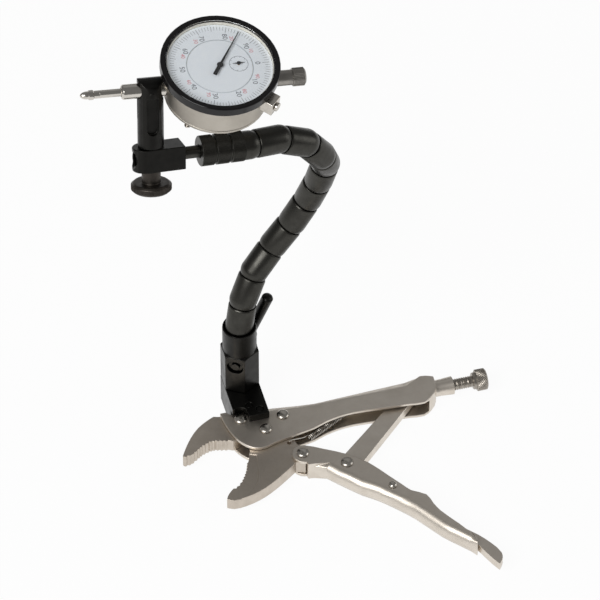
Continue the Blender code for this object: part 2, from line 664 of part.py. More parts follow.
def rivet_mesh(name, shank, head, rise):
    """A rivet with a low dome on each side of the cheeks."""
    low, high = PLIER_BASE - GAP, PLIER_TOP + GAP
    dome = [(head, 0.0), (head * cos(radians(30)), rise * sin(radians(30))),
            (head * cos(radians(62)), rise * sin(radians(62))), (0.0, rise)]
    profile = [(radius, low - height) for radius, height in dome[::-1]]
    profile += [(shank, low), (shank, high)]
    profile += [(radius, high + height) for radius, height in dome]
    return turned(name, profile, 12)


def make_rivets():
    for name, share in (("jaw_pivot_rivet", JAW_PIVOT_SHARE), ("handle_pivot_rivet", HANDLE_PIVOT_SHARE),
                        ("toggle_rivet", TOGGLE_PIVOT_SHARE)):
        add_piece(name, rivet_mesh(name, RIVET_RADIUS, RIVET_HEAD_RADIUS, RIVET_HEAD_RISE), "bright", upright(share))
    small = rivet_mesh("release_rivet", SMALL_RIVET_RADIUS, SMALL_RIVET_HEAD_RADIUS, RIVET_HEAD_RISE)
    add_piece("release_rivet", small, "bright", upright(RELEASE_PIVOT_SHARE))
    for number, share in enumerate(FIXED_RIVET_SHARES, 1):
        name = "fixed_jaw_rivet_%d" % number
        add_piece(name, rivet_mesh(name, RIVET_RADIUS, RIVET_HEAD_RADIUS, RIVET_HEAD_RISE), "bright", upright(share))


def make_adjusting_screw():
    axis = axis_frame((0, SCREW_AXIS_SHARE * PLIER_LENGTH, PLIER_MIDDLE), (1, 0, 0))
    tip, head = SCREW_TIP_SHARE * PLIER_LENGTH, SCREW_HEAD_SHARE * PLIER_LENGTH
    grip = head + SCREW_FLANGE_LENGTH
    end = grip + SCREW_HEAD_LENGTH
    profile = [
        (SCREW_RADIUS - SCREW_HEAD_CHAMFER, tip), (SCREW_RADIUS, tip + SCREW_HEAD_CHAMFER), (SCREW_RADIUS, head),
        (SCREW_FLANGE_RADIUS, head), (SCREW_FLANGE_RADIUS, grip), (SCREW_HEAD_RADIUS, grip + SCREW_HEAD_CHAMFER),
        (SCREW_HEAD_RADIUS, end - SCREW_HEAD_CHAMFER), (SCREW_HEAD_RADIUS - SCREW_HEAD_CHAMFER, end),
        (SCREW_HOLE_RADIUS, end), (SCREW_HOLE_RADIUS, grip),
        (0.0, grip),
    ]
    add_piece("adjusting_screw", turned("adjusting_screw", profile), "bright", axis)


def make_return_spring():
    """A drawn-out coil with a hooked wire to the lower jaw and a straight end on the web."""
    start = Vector((*share_point(SPRING_START_SHARE), PLIER_MIDDLE))
    end = Vector((*share_point(SPRING_END_SHARE), PLIER_MIDDLE))
    hole = Vector((*share_point(SPRING_HOLE_SHARE), INNER_HIGH))
    along = (end - start).normalized()
    frame = axis_frame(start, along)
    length = (end - start).length
    count = SPRING_TURNS * SPRING_POINTS_PER_TURN
    coil = []
    for i in range(count + 1):
        turn = FULL_TURN * i / SPRING_POINTS_PER_TURN
        coil.append(frame @ Vector((SPRING_COIL_RADIUS * cos(turn), SPRING_COIL_RADIUS * sin(turn), length * i / count)))
    per_turn = length / SPRING_TURNS
    print("return spring: least gap between turns %.2f mm" % (1000 * (per_turn - 2 * SPRING_WIRE_RADIUS)))
    rise = Vector((0, 0, SPRING_EYE_RISE))
    points = [hole - rise, hole, hole + rise * SPRING_EYE_LOW_SHARE, hole + rise + (start - hole) * SPRING_EYE_LEAN_SHARE]
    points += [coil[0] - along * SPRING_COIL_RADIUS * SPRING_LEAD_SHARE] + coil
    web_y = min(y for x, y in share_points(BODY_ROOM_TOP_SHARES)) - CHEEK_WALL - GAP
    last = coil[-1] + along * SPRING_COIL_RADIUS
    points += [last, Vector((last.x + SPRING_COIL_RADIUS, last.y + SPRING_COIL_RADIUS, last.z)),
               Vector((last.x + SPRING_COIL_RADIUS, web_y, last.z))]
    curve = bpy.data.curves.new("return_spring", "CURVE")
    curve.dimensions = "3D"
    curve.bevel_depth = SPRING_WIRE_RADIUS
    curve.bevel_resolution = 1
    curve.use_fill_caps = True
    wire = curve.splines.new("POLY")
    wire.points.add(len(points) - 1)
    for knot, place in zip(wire.points, points):
        knot.co = (*place, 1.0)
    spring = bpy.data.objects.new("return_spring", curve)
    bpy.context.scene.collection.objects.link(spring)
    curve.materials.append(finish("return_spring", *FINISHES["bright"]))


# Bracket, housing and cam
def hexagon(across_flats):
    reach = across_flats / sqrt(3)
    return [(reach * cos(radians(30 + 60 * i)), reach * sin(radians(30 + 60 * i))) for i in range(6)]


CAM_AXIS = Vector((cos(radians(CAM_HEADING)), sin(radians(CAM_HEADING)), 0))
HEX_FOOT = BRACKET_TOP + GAP
HEX_TOP = HEX_FOOT + HEX_HEIGHT
COLLAR_TOP = HEX_TOP + COLLAR_HEIGHT
ARM_FOOT = Vector((0, 0, COLLAR_TOP))
CAM_CENTRE = Vector((0, 0, HEX_FOOT + CAM_HEIGHT))


def make_bracket():
    """A block behind the cheeks, with a tongue that lies on the upper cheek."""
    half = BRACKET_WIDTH / 2
    front = BRACKET_FRONT_SHARE * PLIER_LENGTH
    notch_centre = share_point(FIXED_RIVET_SHARES[0])
    outline = [(-half, -BRACKET_TONGUE_SHORT)]
    outline += [(notch_centre[0] + BRACKET_NOTCH_RADIUS, -BRACKET_TONGUE_SHORT - BRACKET_NOTCH_RADIUS / 2),
                (notch_centre[0] + BRACKET_NOTCH_RADIUS, -BRACKET_TONGUE_REACH), (half, -BRACKET_TONGUE_REACH),
                (half, BRACKET_BACK), (-half, BRACKET_BACK)]
    bracket = add_piece("bracket", prism("bracket", outline, 0.0, BRACKET_TOP), "black_oxide", smooth=False)
    under = block("under", (-half - OVERRUN, half + OVERRUN), (-BRACKET_TONGUE_REACH - OVERRUN, front),
                  (-OVERRUN, PLIER_TOP + GAP))
    cutter(bracket, under)
    notch = cylinder("notch", BRACKET_NOTCH_RADIUS, PLIER_TOP, BRACKET_TOP + OVERRUN, 20)
    cutter(bracket, notch, Matrix.Translation((*notch_centre, 0)))
    boss = cylinder("boss", HEX_ROOM_RADIUS - GAP, BRACKET_TOP - OVERRUN, BRACKET_TOP + BRACKET_BOSS_HEIGHT)
    cutter(bracket, boss, operation="UNION")
    sink_floor = BRACKET_TOP - BRACKET_SCREW_HEAD_DEPTH - GAP
    for share in BRACKET_SCREW_SPOTS_SHARES:
        profile = [(BRACKET_SCREW_RADIUS + GAP, PLIER_TOP - OVERRUN), (BRACKET_SCREW_RADIUS + GAP, sink_floor),
                   (BRACKET_SCREW_HEAD_RADIUS + GAP, sink_floor), (BRACKET_SCREW_HEAD_RADIUS + GAP, BRACKET_TOP + OVERRUN)]
        cutter(bracket, turned("screw_seat", profile, 12), upright(share))


def make_bracket_screws():
    head = BRACKET_TOP - BRACKET_SCREW_HEAD_DEPTH
    profile = [(BRACKET_SCREW_RADIUS, INNER_HIGH + GAP), (BRACKET_SCREW_RADIUS, head),
               (BRACKET_SCREW_HEAD_RADIUS, head), (BRACKET_SCREW_HEAD_RADIUS, BRACKET_TOP - GAP)]
    for number, share in enumerate(BRACKET_SCREW_SPOTS_SHARES, 1):
        name = "bracket_screw_%d" % number
        add_piece(name, turned(name, profile, 12), "bright", upright(share))


def seat_points(radius, centre, rim, bore, steps):
    """A concave ball seat's profile, from its rim down to its bore."""
    first = acos(rim / radius)
    last = acos(bore / radius)
    return [
        (radius * cos(first + (last - first) * i / steps), centre - radius * sin(first + (last - first) * i / steps))
        for i in range(steps + 1)
    ]


SEAT_RADIUS = LINK_RADIUS + GAP


def make_cam_housing():
    """Hexagon bar turned down to a collar, with the lowest link's seat and the plunger's room."""
    housing = add_piece("cam_housing", prism("cam_housing", hexagon(HEX_ACROSS_FLATS), HEX_FOOT, HEX_TOP),
                        "black_oxide", smooth=False)
    rim = HEX_ACROSS_FLATS / 2 + GAP
    outside = rim + 2 * HEX_CHAMFER
    top_rim = [(rim, HEX_TOP), (outside, HEX_TOP - HEX_CHAMFER), (outside, HEX_TOP + OVERRUN), (rim, HEX_TOP + OVERRUN)]
    cutter(housing, turned("top_chamfer", top_rim, 28, hollow=True))
    collar = [(COLLAR_RADIUS, HEX_TOP - OVERRUN), (COLLAR_RADIUS, COLLAR_TOP - COLLAR_CHAMFER),
              (COLLAR_RADIUS - COLLAR_CHAMFER, COLLAR_TOP)]
    cutter(housing, turned("collar", collar, 28), operation="UNION")
    room_top = HEX_TOP + COLLAR_ROOM_DEPTH
    cutter(housing, cylinder("room", HEX_ROOM_RADIUS, HEX_FOOT - OVERRUN, room_top))
    bore = CABLE_RADIUS + CABLE_CLEARANCE
    seat = [(bore, room_top - OVERRUN)]
    seat += seat_points(SEAT_RADIUS, COLLAR_TOP, SEAT_RADIUS * cos(radians(COLLAR_TILT)), bore, 4)[::-1]
    seat += [(SEAT_RADIUS / cos(radians(COLLAR_TILT)), COLLAR_TOP),
             (SEAT_RADIUS / cos(radians(COLLAR_TILT)), COLLAR_TOP + OVERRUN)]
    cutter(housing, turned("seat", seat, 24))
    reach = HEX_ACROSS_FLATS
    cutter(housing, cylinder("cam_bore", CAM_SHAFT_RADIUS + GAP, -reach, reach), axis_frame(CAM_CENTRE, CAM_AXIS))


def make_cable_plunger():
    """A slide with a window for the cam and a seat for the cable's end."""
    low = HEX_FOOT + PLUNGER_FLOOR
    high = low + PLUNGER_LENGTH
    plunger = add_piece("cable_plunger", cylinder("cable_plunger", PLUNGER_RADIUS, low, high), "bright")
    half = CAM_LOBE_RADIUS + CAM_LOBE_OFFSET + GAP
    centre = CAM_CENTRE.z
    window = block("window", (-half, half), (-COLLAR_RADIUS, COLLAR_RADIUS), (centre - half - CAM_TRAVEL, centre + half))
    cutter(plunger, window, Matrix.Rotation(radians(CAM_HEADING - 90), 4, "Z"))
    cable_hole = cylinder("cable_hole", CABLE_RADIUS + GAP, high - PLUNGER_CABLE_SEAT, high + OVERRUN, 12)
    cutter(plunger, cable_hole)


def make_cam():
    """The eccentric shaft, its retaining screw and the lever in its boss."""
    axis = axis_frame(CAM_CENTRE, CAM_AXIS)
    flat = HEX_ACROSS_FLATS / 2
    front, back = -flat + CAM_FRONT_DEPTH, flat + GAP
    half = CAM_LOBE_LENGTH / 2
    boss_end = back + CAM_BOSS_LENGTH
    shaft = add_piece(
        "cam_shaft",
        turned("cam_shaft", [(CAM_SHAFT_RADIUS, half), (CAM_SHAFT_RADIUS, back), (CAM_BOSS_RADIUS, back),
                             (CAM_BOSS_RADIUS, boss_end - COLLAR_CHAMFER), (CAM_BOSS_RADIUS - COLLAR_CHAMFER, boss_end)]),
        "black_oxide", axis)
    lobe = cylinder("lobe", CAM_LOBE_RADIUS, -half - OVERRUN / 2, half + OVERRUN / 2)
    cutter(shaft, lobe, axis @ Matrix.Translation((CAM_LOBE_OFFSET, 0, 0)), "UNION")
    cutter(shaft, cylinder("journal", CAM_SHAFT_RADIUS, front, -half), axis, "UNION")
    hole_end = front + CAM_SCREW_LENGTH + GAP
    cutter(shaft, cylinder("screw_hole", CAM_SCREW_RADIUS + GAP, front - OVERRUN, hole_end, 12), axis)
    boss_middle = CAM_CENTRE + CAM_AXIS * (back + CAM_BOSS_LENGTH / 2)
    tilt = radians(LEVER_TILT)
    lever_way = Vector((0, 0, 1)) * cos(tilt) + CAM_AXIS.cross(Vector((0, 0, 1))) * sin(tilt)
    lever_frame = axis_frame(boss_middle, lever_way, CAM_AXIS)
    socket = cylinder("socket", LEVER_SPIGOT_RADIUS + GAP, LEVER_SPIGOT_SEAT - GAP, CAM_BOSS_RADIUS + OVERRUN, 16)
    cutter(shaft, socket, lever_frame)

    head = front - GAP
    screw = [(CAM_SCREW_HEAD_RADIUS, head - CAM_SCREW_HEAD_LENGTH), (CAM_SCREW_HEAD_RADIUS, head),
             (CAM_SCREW_RADIUS, head), (CAM_SCREW_RADIUS, front + CAM_SCREW_LENGTH)]
    add_piece("cam_set_screw", turned("cam_set_screw", screw, 16), "bright", axis)

    foot = CAM_BOSS_RADIUS + GAP
    dome = [(LEVER_RADIUS * cos(radians(angle)), LEVER_LENGTH - LEVER_RADIUS / 2 + LEVER_RADIUS / 2 * sin(radians(angle)))
            for angle in (0, 30, 60)]
    profile = [(LEVER_SPIGOT_RADIUS, LEVER_SPIGOT_SEAT), (LEVER_SPIGOT_RADIUS, foot), (LEVER_RADIUS, foot)]
    profile += dome + [(0.0, LEVER_LENGTH)]
    mesh = turned("cam_lever", profile, 20)
    mesh.transform(lever_frame)
    add_piece("cam_lever", mesh, "black_oxide", Matrix.Translation(CAM_CENTRE), moved=False)


# Arm
def heading_and_rise(heading, rise):
    """The direction with a heading from +X and a rise above level, in degrees."""
    level = cos(radians(rise))
    return Vector((level * cos(radians(heading)), level * sin(radians(heading)), sin(radians(rise))))


def arm_frames():
    """A frame at each ball's centre, its Z along the link and its X on the bend's axis."""
    frames = []
    centre, before = ARM_FOOT.copy(), Vector((0, 0, 1))
    for heading, rise in ARM_POSTURE + [FITTING_HEADING_AND_RISE]:
        way = heading_and_rise(heading, rise)
        frames.append(axis_frame(centre, way, before.cross(way)))
        centre = centre + way * LINK_PITCH
        before = way
    return frames


ARM_FRAMES = arm_frames()


def ball_points(radius, bore, steps):
    """A convex ball end's profile, from its bore up to its widest ring."""
    first = -acos(bore / radius)
    return [(radius * cos(first * (1 - i / steps)), radius * sin(first * (1 - i / steps))) for i in range(steps + 1)]


def make_arm_links():
    rim_height = LINK_PITCH - LINK_RIM_DROP
    rim_radius = sqrt(SEAT_RADIUS ** 2 - LINK_RIM_DROP ** 2)
    profile = ball_points(LINK_RADIUS, LINK_MOUTH_RADIUS, 3)
    profile += [(LINK_RADIUS, rim_height - LINK_CHAMFER), (LINK_RADIUS - LINK_CHAMFER, rim_height)]
    profile += seat_points(SEAT_RADIUS, LINK_PITCH, rim_radius, LINK_BORE_RADIUS, 3)
    for number, frame in enumerate(ARM_FRAMES[:-1]):
        name = "arm_link_%02d" % number
        add_piece(name, turned(name, profile, LINK_SIDES, hollow=True), "black_oxide", frame)


def make_end_fitting():
    """The sleeve at the arm's end: a ball, three bands and a bore for the rod."""
    band = (FITTING_LENGTH - FITTING_SHOULDER - 2 * FITTING_GROOVE_WIDTH) / 3
    profile = ball_points(LINK_RADIUS, LINK_MOUTH_RADIUS, 4)
    height = FITTING_SHOULDER
    for number in range(3):
        profile += [(FITTING_BAND_RADIUS, height), (FITTING_BAND_RADIUS, height + band)]
        height += band
        if number < 2:
            profile += [(FITTING_GROOVE_RADIUS, height), (FITTING_GROOVE_RADIUS, height + FITTING_GROOVE_WIDTH)]
            height += FITTING_GROOVE_WIDTH
    bore = ROD_RADIUS + GAP
    profile += [(bore, FITTING_LENGTH), (bore, FITTING_ROD_SEAT - GAP), (LINK_BORE_RADIUS, FITTING_ROD_SEAT - GAP)]
    add_piece("arm_end_fitting", turned("arm_end_fitting", profile, LINK_SIDES, hollow=True), "black_oxide", ARM_FRAMES[-1])


def smooth_through(points, samples):
    """Points on a smooth curve through a route, with the same number on every stretch."""
    ends = [2 * points[0] - points[1]] + points + [2 * points[-1] - points[-2]]
    route = []
    for before, start, end, after in zip(ends, ends[1:], ends[2:], ends[3:]):
        for i in range(samples):
            t = i / samples
            bend = 2 * before - 5 * start + 4 * end - after
            twist = 3 * start - before - 3 * end + after
            route.append((2 * start + (end - before) * t + bend * t ** 2 + twist * t ** 3) / 2)
    return route + [points[-1]]


def make_tension_cable():
    """The steel cable through every link, from the plunger to the end fitting."""
    plunger_top = HEX_FOOT + PLUNGER_FLOOR + PLUNGER_LENGTH
    route = [Vector((0, 0, plunger_top - PLUNGER_CABLE_SEAT + GAP)), Vector((0, 0, COLLAR_TOP - LINK_RADIUS))]
    route += [frame.translation.copy() for frame in ARM_FRAMES]
    route.append(ARM_FRAMES[-1] @ Vector((0, 0, FITTING_CABLE_END)))
    points = smooth_through(route, CABLE_SAMPLES_PER_LINK)
    curve = bpy.data.curves.new("tension_cable", "CURVE")
    curve.dimensions = "3D"
    curve.bevel_depth = CABLE_RADIUS
    curve.bevel_resolution = 2
    curve.use_fill_caps = True
    wire = curve.splines.new("POLY")
    wire.points.add(len(points) - 1)
    for knot, place in zip(wire.points, points):
        knot.co = (*place, 1.0)
    cable = bpy.data.objects.new("tension_cable", curve)
    bpy.context.scene.collection.objects.link(cable)
    curve.materials.append(finish("tension_cable", *FINISHES["cable_steel"]))


# Holder
FITTING_FRAME = ARM_FRAMES[-1]
ROD_WAY = FITTING_FRAME.to_3x3() @ Vector((0, 0, 1))
POST_PLACE = FITTING_LENGTH + ROD_SHOWN + BLOCK_LENGTH - BLOCK_POST_SETBACK
LEVEL_SIDE = Vector((0, 0, 1)).cross(ROD_WAY).normalized()
ROLLED_UP = Matrix.Rotation(radians(BLOCK_ROLL), 3, ROD_WAY) @ ROD_WAY.cross(LEVEL_SIDE)
# Block frame: Z along the post, X along the rod, away from the arm
BLOCK_FRAME = axis_frame(FITTING_FRAME @ Vector((0, 0, POST_PLACE)), ROLLED_UP, ROD_WAY)
POST_FRAME = BLOCK_FRAME @ Matrix.Rotation(radians(POST_YAW), 4, "Z")
ALONG_X = Matrix.Rotation(radians(90), 4, "Y")


def make_rod_and_block():
    rod_end = FITTING_LENGTH + ROD_SHOWN + ROD_INSERT
    rod = cylinder("swivel_rod", ROD_RADIUS, FITTING_ROD_SEAT, rod_end)
    add_piece("swivel_rod", rod, "black_oxide", FITTING_FRAME)

    half = BLOCK_WIDTH / 2
    near = BLOCK_POST_SETBACK - BLOCK_LENGTH
    outline = [(near, half), (near, -half)] + arc((BLOCK_POST_SETBACK - half, 0), half, -90, 90, 8)
    mesh = prism("clamp_block", outline, -half, half)
    block_piece = add_piece("clamp_block", mesh, "black_oxide", BLOCK_FRAME)
    bore = ROD_RADIUS + GAP
    cutter(block_piece, cylinder("bore", bore, near - OVERRUN, BLOCK_POST_SETBACK + OVERRUN), BLOCK_FRAME @ ALONG_X)
    sink = [(bore - OVERRUN / 2, BLOCK_POST_SETBACK - BLOCK_COUNTERSINK - OVERRUN / 2),
            (bore + BLOCK_COUNTERSINK + OVERRUN, BLOCK_POST_SETBACK + OVERRUN)]
    cutter(block_piece, turned("countersink", sink), BLOCK_FRAME @ ALONG_X)
    hole = cylinder("stud_hole", POST_STUD_RADIUS + GAP, -half - OVERRUN, half + OVERRUN, 20)
    cutter(block_piece, hole, BLOCK_FRAME)


def make_post_and_knob():
    """The post stands on the block and ends in a split eye; the knob draws its stud down."""
    half = BLOCK_WIDTH / 2
    foot = half + GAP
    stud_end = -half - GAP - KNOB_THREAD_DEPTH
    profile = [(POST_STUD_RADIUS, stud_end), (POST_STUD_RADIUS, foot), (POST_RADIUS, foot),
               (POST_RADIUS, POST_HEIGHT + POST_RADIUS)]
    post = add_piece("indicator_post", turned("indicator_post", profile), "black_oxide", POST_FRAME)
    reach = POST_RADIUS + OVERRUN
    silhouette = arc((0, POST_HEIGHT), EYE_RADIUS, 0, 180, 10)
    silhouette += [(-reach, POST_HEIGHT), (-reach, stud_end - OVERRUN), (reach, stud_end - OVERRUN), (reach, POST_HEIGHT)]
    across = Matrix(((0, 0, 1, 0), (1, 0, 0, 0), (0, 1, 0, 0), (0, 0, 0, 1)))
    cutter(post, prism("eye_form", silhouette, -reach, reach), POST_FRAME @ across, "INTERSECT")
    stem_axis = POST_FRAME @ Matrix.Translation((0, 0, POST_HEIGHT)) @ ALONG_X
    slit = block("slit", (-reach, reach), (-POST_SLIT_WIDTH / 2, POST_SLIT_WIDTH / 2),
                 (POST_HEIGHT - POST_SLIT_LENGTH, POST_HEIGHT - OVERRUN))
    cutter(post, slit, POST_FRAME)
    cutter(post, cylinder("stem_bore", STEM_RADIUS + GAP, -reach - OVERRUN, reach + OVERRUN), stem_axis)
    slot_half = POST_SLOT_WIDTH / 2
    slot_low = POST_HEIGHT - POST_SLOT_TOP - POST_SLOT_LENGTH
    slot = [(slot_half, POST_HEIGHT - POST_SLOT_TOP), (-slot_half, POST_HEIGHT - POST_SLOT_TOP)]
    slot += arc((0, slot_low + slot_half), slot_half, 180, 360, 8)
    facing = Matrix(((-1, 0, 0, 0), (0, 0, 1, 0), (0, 1, 0, 0), (0, 0, 0, 1)))
    floor = POST_RADIUS - POST_SLOT_DEPTH
    cutter(post, prism("slot", slot, floor, POST_RADIUS + OVERRUN), POST_FRAME @ facing)

    top = -half - GAP
    waist = top - KNOB_NECK_LENGTH
    bottom = waist - KNOB_LENGTH
    bore = POST_STUD_RADIUS + GAP
    profile = [(bore, top), (KNOB_NECK_RADIUS, top), (KNOB_NECK_RADIUS, waist), (KNOB_RADIUS - KNOB_ROUNDING, waist),
               (KNOB_RADIUS, waist - KNOB_ROUNDING), (KNOB_RADIUS, bottom + KNOB_ROUNDING),
               (KNOB_RADIUS - KNOB_ROUNDING, bottom), (0.0, bottom)]
    floor = stud_end - GAP
    inside = [(0.0, floor), (bore, floor)]
    add_piece("clamp_knob", turned("clamp_knob", inside + profile, 24), "black_oxide", POST_FRAME)


# Dial indicator
INDICATOR_FRAME = (POST_FRAME @ Matrix.Translation((0, 0, POST_HEIGHT))
                   @ Matrix.Rotation(radians(INDICATOR_ROLL), 4, "X"))
# Case frame: X towards the contact point, Z the dial's normal, origin on the spindle's axis
CASE_FRAME = INDICATOR_FRAME @ Matrix.Translation((-CASE_SETBACK, 0, 0))
CASE_SPINDLE = CASE_FRAME @ ALONG_X


def make_case():
    inner = CASE_RADIUS - CASE_WALL
    profile = [(inner, CASE_BACK), (CASE_RADIUS, CASE_BACK), (CASE_RADIUS, CASE_FRONT), (inner, CASE_FRONT)]
    case = add_piece("case", turned("case", profile, 40, hollow=True), "satin_case", CASE_FRAME)
    hole = cylinder("stem_hole", STEM_SPIGOT_RADIUS + GAP, -CASE_RADIUS - OVERRUN, CASE_RADIUS + OVERRUN, 20)
    cutter(case, hole, CASE_SPINDLE)
    for x, y in screw_circle():
        bore = cylinder("screw_hole", BACK_SCREW_RADIUS + GAP, CASE_BACK - OVERRUN, CASE_BACK + BACK_SCREW_LENGTH, 12)
        cutter(case, bore, CASE_FRAME @ Matrix.Translation((x, y, 0)))


def screw_circle():
    """Places of the back cover's screws, evenly spaced in the case's wall."""
    middle = CASE_RADIUS - CASE_WALL / 2
    return [(middle * cos(radians(45 + 360 * i / BACK_SCREW_COUNT)), middle * sin(radians(45 + 360 * i / BACK_SCREW_COUNT)))
            for i in range(BACK_SCREW_COUNT)]


def make_back_cover():
    top = CASE_BACK - GAP
    low = top - BACK_COVER_THICK
    profile = [(0.0, low), (CASE_RADIUS - BACK_COVER_CHAMFER, low), (CASE_RADIUS, low + BACK_COVER_CHAMFER),
               (CASE_RADIUS, top), (0.0, top)]
    cover = add_piece("back_cover", turned("back_cover", profile, 40), "satin_case", CASE_FRAME)
    head_low = low - GAP - BACK_SCREW_RADIUS
    screw = [(BACK_SCREW_HEAD_RADIUS, head_low), (BACK_SCREW_HEAD_RADIUS, low - GAP), (BACK_SCREW_RADIUS, low - GAP),
             (BACK_SCREW_RADIUS, CASE_BACK + BACK_SCREW_LENGTH - GAP)]
    for number, (x, y) in enumerate(screw_circle(), 1):
        place = CASE_FRAME @ Matrix.Translation((x, y, 0))
        through = cylinder("screw_hole", BACK_SCREW_RADIUS + GAP, low - OVERRUN, top + OVERRUN, 12)
        cutter(cover, through, place)
        name = "back_screw_%d" % number
        add_piece(name, turned(name, screw, 12), "bright", place)


def make_stem_and_cap():
    bore = SPINDLE_RADIUS + GAP
    inner = CASE_RADIUS - CASE_WALL
    profile = [(bore, inner), (STEM_SPIGOT_RADIUS, inner), (STEM_SPIGOT_RADIUS, CASE_RADIUS + GAP),
               (STEM_RADIUS, CASE_RADIUS + GAP), (STEM_RADIUS, STEM_TIP - TURNED_CHAMFER), (STEM_RADIUS - TURNED_CHAMFER, STEM_TIP),
               (bore, STEM_TIP)]
    add_piece("stem", turned("stem", profile, 24, hollow=True), "bright", CASE_SPINDLE)
    neck = -CASE_RADIUS - GAP
    end = neck - CAP_LENGTH
    swell = end + CAP_END_LENGTH
    outside = [(STEM_SPIGOT_RADIUS, -inner), (STEM_SPIGOT_RADIUS, neck), (CAP_RADIUS, neck), (CAP_RADIUS, swell),
               (CAP_END_RADIUS, swell), (CAP_END_RADIUS, end + TURNED_CHAMFER), (CAP_END_RADIUS - TURNED_CHAMFER, end), (0.0, end)]
    inside = [(0.0, end + CAP_END_WALL), (bore, end + CAP_END_WALL), (bore, -inner)]
    add_piece("cap", turned("cap", inside + outside, 24), "satin_case", CASE_SPINDLE)


def make_spindle():
    """The rack spindle through the case, with an arm for its spring, and the contact point."""
    profile = [(SPINDLE_RADIUS, -SPINDLE_TAIL), (SPINDLE_RADIUS, SPINDLE_TIP)]
    spindle = add_piece("spindle", turned("spindle", profile, 20), "bright", CASE_SPINDLE)
    wide = SPINDLE_RADIUS + OVERRUN
    flat = block("rack_flat", (-RACK_BEHIND, RACK_AHEAD), (-wide, RACK_FLAT), (-wide, wide))
    cutter(spindle, flat, CASE_FRAME)
    arm = block("arm", (-SPINDLE_ARM_PLACE - SPINDLE_ARM_THICK / 2, -SPINDLE_ARM_PLACE + SPINDLE_ARM_THICK / 2),
                (SPINDLE_RADIUS / 2, SPINDLE_ARM_REACH), (-SPINDLE_ARM_HALF, SPINDLE_ARM_HALF))
    cutter(spindle, arm, CASE_FRAME, "UNION")
    socket = cylinder("socket", CONTACT_SPIGOT_RADIUS + GAP, SPINDLE_TIP - CONTACT_SPIGOT_LENGTH - GAP,
                      SPINDLE_TIP + OVERRUN, 12)
    cutter(spindle, socket, CASE_SPINDLE)

    base = SPINDLE_TIP + GAP
    end = SPINDLE_TIP + CONTACT_LENGTH
    waist = base + CONTACT_SHANK_LENGTH
    ball = [(CONTACT_BALL_RADIUS * cos(radians(angle)), end - CONTACT_BALL_RADIUS * (1 - sin(radians(angle))))
            for angle in (-30, 0, 30, 60)]
    profile = [(CONTACT_SPIGOT_RADIUS, SPINDLE_TIP - CONTACT_SPIGOT_LENGTH), (CONTACT_SPIGOT_RADIUS, base),
               (CONTACT_RADIUS, base), (CONTACT_RADIUS, waist)] + ball + [(0.0, end)]
    add_piece("contact_point", turned("contact_point", profile, 20), "bright", CASE_SPINDLE)


def make_spindle_spring():
    start = -SPINDLE_ARM_PLACE + SPINDLE_ARM_THICK / 2 + GAP
    side = SPINDLE_ARM_REACH - RETURN_SPRING_RADIUS
    inner = CASE_RADIUS - CASE_WALL - GAP
    end = sqrt(inner ** 2 - SPINDLE_ARM_REACH ** 2) - GAP
    frame = CASE_FRAME @ Matrix.Translation((0, side, 0)) @ ALONG_X
    add_piece("spindle_spring", cylinder("spindle_spring", RETURN_SPRING_RADIUS, start, end, 12), "bright", frame)


def make_bezel():
    ledge = CRYSTAL_RADIUS + GAP
    profile = [
        (CASE_RADIUS + GAP, BEZEL_LOW), (BEZEL_RADIUS - BEZEL_CHAMFER, BEZEL_LOW), (BEZEL_RADIUS, BEZEL_LOW + BEZEL_CHAMFER),
        (BEZEL_RADIUS, BEZEL_TOP - BEZEL_CHAMFER), (BEZEL_RADIUS - BEZEL_CHAMFER, BEZEL_TOP),
        (ledge + BEZEL_LIP, BEZEL_TOP), (ledge, BEZEL_TOP - BEZEL_LIP), (ledge, CRYSTAL_SEAT), (BEZEL_INNER_RADIUS, CRYSTAL_SEAT),
        (BEZEL_INNER_RADIUS, CASE_FRONT + GAP), (CASE_RADIUS + GAP, CASE_FRONT + GAP),
    ]
    add_piece("bezel", turned("bezel", profile, 48, hollow=True), "black_gloss", CASE_FRAME)
    low = CRYSTAL_SEAT + GAP
    add_piece("crystal", cylinder("crystal", CRYSTAL_RADIUS, low, low + CRYSTAL_THICK, 48), "clear", CASE_FRAME)


DIAL_LOW = CASE_FRONT + 2 * GAP
DIAL_TOP = DIAL_LOW + DIAL_THICK
COUNTER_SPOT = (-sqrt(COUNTER_OFFSET ** 2 - COUNTER_SIDE ** 2), -COUNTER_SIDE)
COUNTER_FRAME = CASE_FRAME @ Matrix.Translation((*COUNTER_SPOT, 0))


def make_dial_and_plate():
    """The scale ring that turns with the bezel, the still disc inside it, and the train's plate."""
    ring = [(DIAL_SPLIT_RADIUS + GAP / 2, DIAL_LOW), (DIAL_RADIUS, DIAL_LOW), (DIAL_RADIUS, DIAL_TOP),
            (DIAL_SPLIT_RADIUS + GAP / 2, DIAL_TOP)]
    add_piece("dial_face", turned("dial_face", ring, 48, hollow=True), "dial_white", CASE_FRAME)
    disc = cylinder("counter_plate", DIAL_SPLIT_RADIUS - GAP / 2, DIAL_LOW, DIAL_TOP, 36)
    inner = add_piece("counter_plate", disc, "dial_white", CASE_FRAME)
    hole = ARBOR_RADIUS + GAP
    high = PLATE_LOW + PLATE_THICK
    plate = add_piece("movement_plate", cylinder("movement_plate", PLATE_RADIUS, PLATE_LOW, high, 32), "brass", CASE_FRAME)
    for spot, radius in (((0.0, 0.0), hole), (COUNTER_SPOT, RACK_PINION_RADIUS + GAP)):
        place = CASE_FRAME @ Matrix.Translation((*spot, 0))
        cutter(inner, cylinder("hole", hole, DIAL_LOW - OVERRUN, DIAL_TOP + OVERRUN, 12), place)
        cutter(plate, cylinder("hole", radius, PLATE_LOW - OVERRUN, high + OVERRUN, 12), place)


